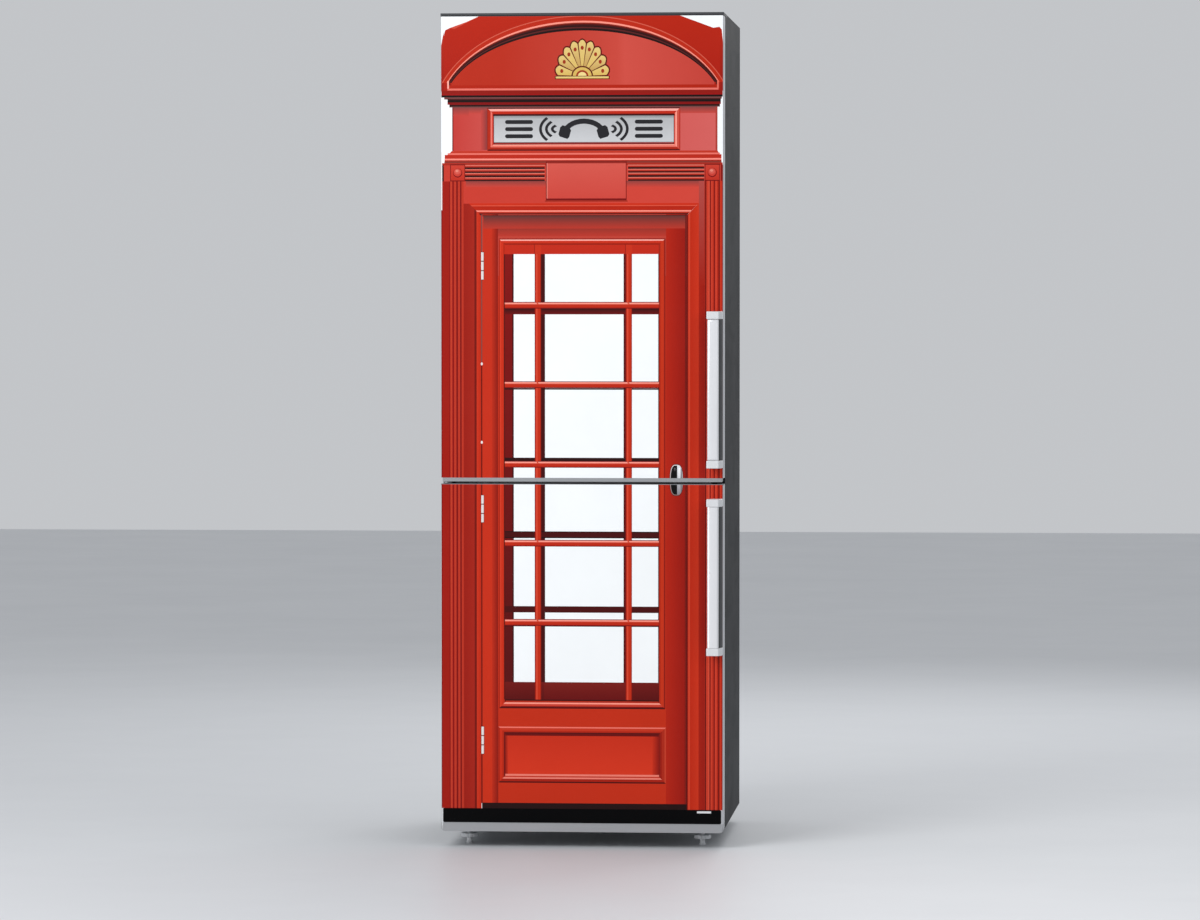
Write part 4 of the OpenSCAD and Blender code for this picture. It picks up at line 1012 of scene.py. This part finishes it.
lens = dict(ridges=18, deep=1.4)
lensLow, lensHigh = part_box("lamp_lens")
lampLens = block("lamp_lens_ridged", lensLow, lensHigh)
for i in range(1, lens["ridges"] * 2):
    x = lensLow.x + (lensHigh.x - lensLow.x) * i / (lens["ridges"] * 2)
    cutAcross(lampLens, (x, 0, 0), (1, 0, 0))
ridgeStep = (lensHigh.x - lensLow.x) / (lens["ridges"] * 2)
for v in lampLens.data.vertices:
    if v.co.y < lensLow.y + 0.1 * mm and round((v.co.x - lensLow.x) / ridgeStep) % 2 == 0:
        v.co.y += lens["deep"] * mm
paint(lampLens, makeFinish("lamp lens", dict(colour="fbf7ea", second="f4eed9", rough=(0.12, 0.2),
                                             clear=0.55, ior=1.49, grain=400, relief=0.05)))
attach(lampLens, "cabinet")
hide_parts("lamp_lens")

dial = dict(marks=7, fromCentre=16.4, start=-135, stop=135, long=4.2, wide=0.9)
knobLow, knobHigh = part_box("thermostat_knob")
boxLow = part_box("control_box")[0]
knobX, knobZ = (knobLow.x + knobHigh.x) / 2, (knobLow.z + knobHigh.z) / 2
ticks = []
markInk = makeFinish("dial ink", dict(colour="33506b", second="2c475f", rough=(0.4, 0.5), grain=700,
                                      relief=0.05))
for i in range(dial["marks"]):
    turn = math.radians(dial["start"] + (dial["stop"] - dial["start"]) * i / (dial["marks"] - 1))
    reach = dial["long"] * (0.5 + 0.08 * i) * mm
    foot = dial["fromCentre"] * mm
    tick = block("dial_mark", (-dial["wide"] * mm / 2, boxLow.y - 0.25 * mm, foot),
                 (dial["wide"] * mm / 2, boxLow.y + 0.1 * mm, foot + reach))
    tick.rotation_euler = (0, turn, 0)
    tick.location = (knobX, 0, knobZ)
    settle(tick)
    ticks.append(tick)
marks = joinAll(ticks)
marks.name = "dial_marks"
soften(marks, 0.1 * mm, 1)
paint(marks, markInk)
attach(marks, "cabinet")
print("lamp and dial made")

# back: sheet screws

screw = dict(head=4.2, rise=1.8, side=9, fromEnd=30, count=6)


def makeSheetScrew(x, y, z):  # pan head with a sunk middle, facing +Y
    deselectAll()
    bpy.ops.mesh.primitive_cylinder_add(
        vertices=24, radius=screw["head"] * mm, depth=screw["rise"] * mm,
        location=(x, y + screw["rise"] * mm / 2, z), rotation=(math.pi / 2, 0, 0))
    head = bpy.context.object
    head.name = "sheet_screw"
    settle(head)
    pickEdges(head, lambda a, b: min(a.y, b.y) > y + screw["rise"] * mm * 0.9)
    roundPicked(1, 3)
    pickFaces(head, lambda c, n: n.y > 0.99 and c.y > y + screw["rise"] * mm * 0.9)
    sinkPicked(1.2, 0.7)
    return head


panelLow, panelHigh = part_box("back_panel")
heads = []
for i in range(screw["count"]):
    z = (panelLow.z + screw["fromEnd"] * mm
         + (panelHigh.z - panelLow.z - 2 * screw["fromEnd"] * mm) * i / (screw["count"] - 1))
    for x in (panelLow.x + screw["side"] * mm, panelHigh.x - screw["side"] * mm):
        heads.append(makeSheetScrew(x, panelHigh.y, z))
backScrews = joinAll(heads)
backScrews.name = "back_panel_screws"
smooth(backScrews, 40)
paint(backScrews, mats["zinc_steel"])
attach(backScrews, "cabinet")
print("back screws made")

# softened edges on the CAD nodes that are shown as they are

edgeWidths = dict(side_panel_left=1.2, side_panel_right=1.2, top_panel=1.2, top_trim=1.5, upper_door_cap=1.2,
                  lower_door_cap=1.2, upper_door_sill=1.2, lower_door_sill=3, upper_handle_posts=2,
                  lower_handle_posts=2, fridge_liner=5, freezer_liner=5, upper_door_liner=5,
                  lower_door_liner=5, crisper_left=0.9, crisper_right=0.9, freezer_drawer_top=0.9,
                  freezer_drawer_middle=0.9, freezer_drawer_bottom=0.9, door_rack_top=0.9,
                  door_rack_middle=0.9, door_rack_bottom=0.9, dairy_cover=0.5, shelf_trims=1.5,
                  shelf_panes=0.5, control_box=3, plinth_strip=0.4, hinge_brackets=0.6, base_tray=0.4,
                  rear_spacers=1.5, evaporation_tray=0.5, lamp_lens=1.2, mains_gland=0.8, centre_rail=0.4)
for nodeName, width in edgeWidths.items():
    cadNode = cadNodes[nodeName]
    weld = cadNode.modifiers.new("joined corners", "WELD")
    weld.merge_threshold = 1e-6
    soften(cadNode, width * mm, 2, 40, live=True)
print("edges softened")

# camera, light and floor

def facing(place, aim):
    return (Vector(aim) - Vector(place)).to_track_quat("-Z", "Y").to_euler()


view = dict(place=(0.93, -11.0, 1.142), aim=(0.0385, -0.30, 0.823), lens=152.4)
cameraData = bpy.data.cameras.new("camera")
cameraData.lens = view["lens"]
cameraData.sensor_width = 36
cameraData.clip_end = 60
camera = bpy.data.objects.new("camera", cameraData)
scene.collection.objects.link(camera)
camera.location = view["place"]
camera.rotation_euler = facing(view["place"], view["aim"])
scene.camera = camera

studio = dict(world=0.7, key=158, fill=24, low=30, rim=60, floor="d5d7da")
world = bpy.data.worlds.new("studio")
world.use_nodes = True
world.node_tree.nodes["Background"].inputs["Color"].default_value = (0.78, 0.80, 0.83, 1)
world.node_tree.nodes["Background"].inputs["Strength"].default_value = studio["world"]
scene.world = world


def softLight(name, place, aim, size, power):
    lampData = bpy.data.lights.new(name, "AREA")
    lampData.shape = "RECTANGLE"
    lampData.size, lampData.size_y = size
    lampData.energy = power
    lamp = bpy.data.objects.new(name, lampData)
    scene.collection.objects.link(lamp)
    lamp.location = place
    lamp.rotation_euler = facing(place, aim)


softLight("key light", (-2.6, -4.2, 3.4), (0, 0, 0.9), (2.6, 2.6), studio["key"])
softLight("fill light", (3.4, -3.6, 2.2), (0, 0, 0.8), (2.4, 3.0), studio["fill"])
softLight("low light", (-3.6, -3.2, 0.5), (0, 0, 0.3), (2.4, 0.9), studio["low"])
softLight("back light", (1.2, 3.6, 3.2), (0, 0, 1.0), (2.5, 2.0), studio["rim"])

deselectAll()
bpy.ops.mesh.primitive_plane_add(size=30, location=(0, 0, 0))
floor = bpy.context.object
floor.name = "studio_floor"
floorLook = dict(colour=studio["floor"], second="cfd1d4", rough=(0.4, 0.55), grain=300, mottle=1.5,
                 relief=0.03)
paint(floor, makeFinish("studio floor", floorLook))
scene.view_settings.view_transform = "Standard"
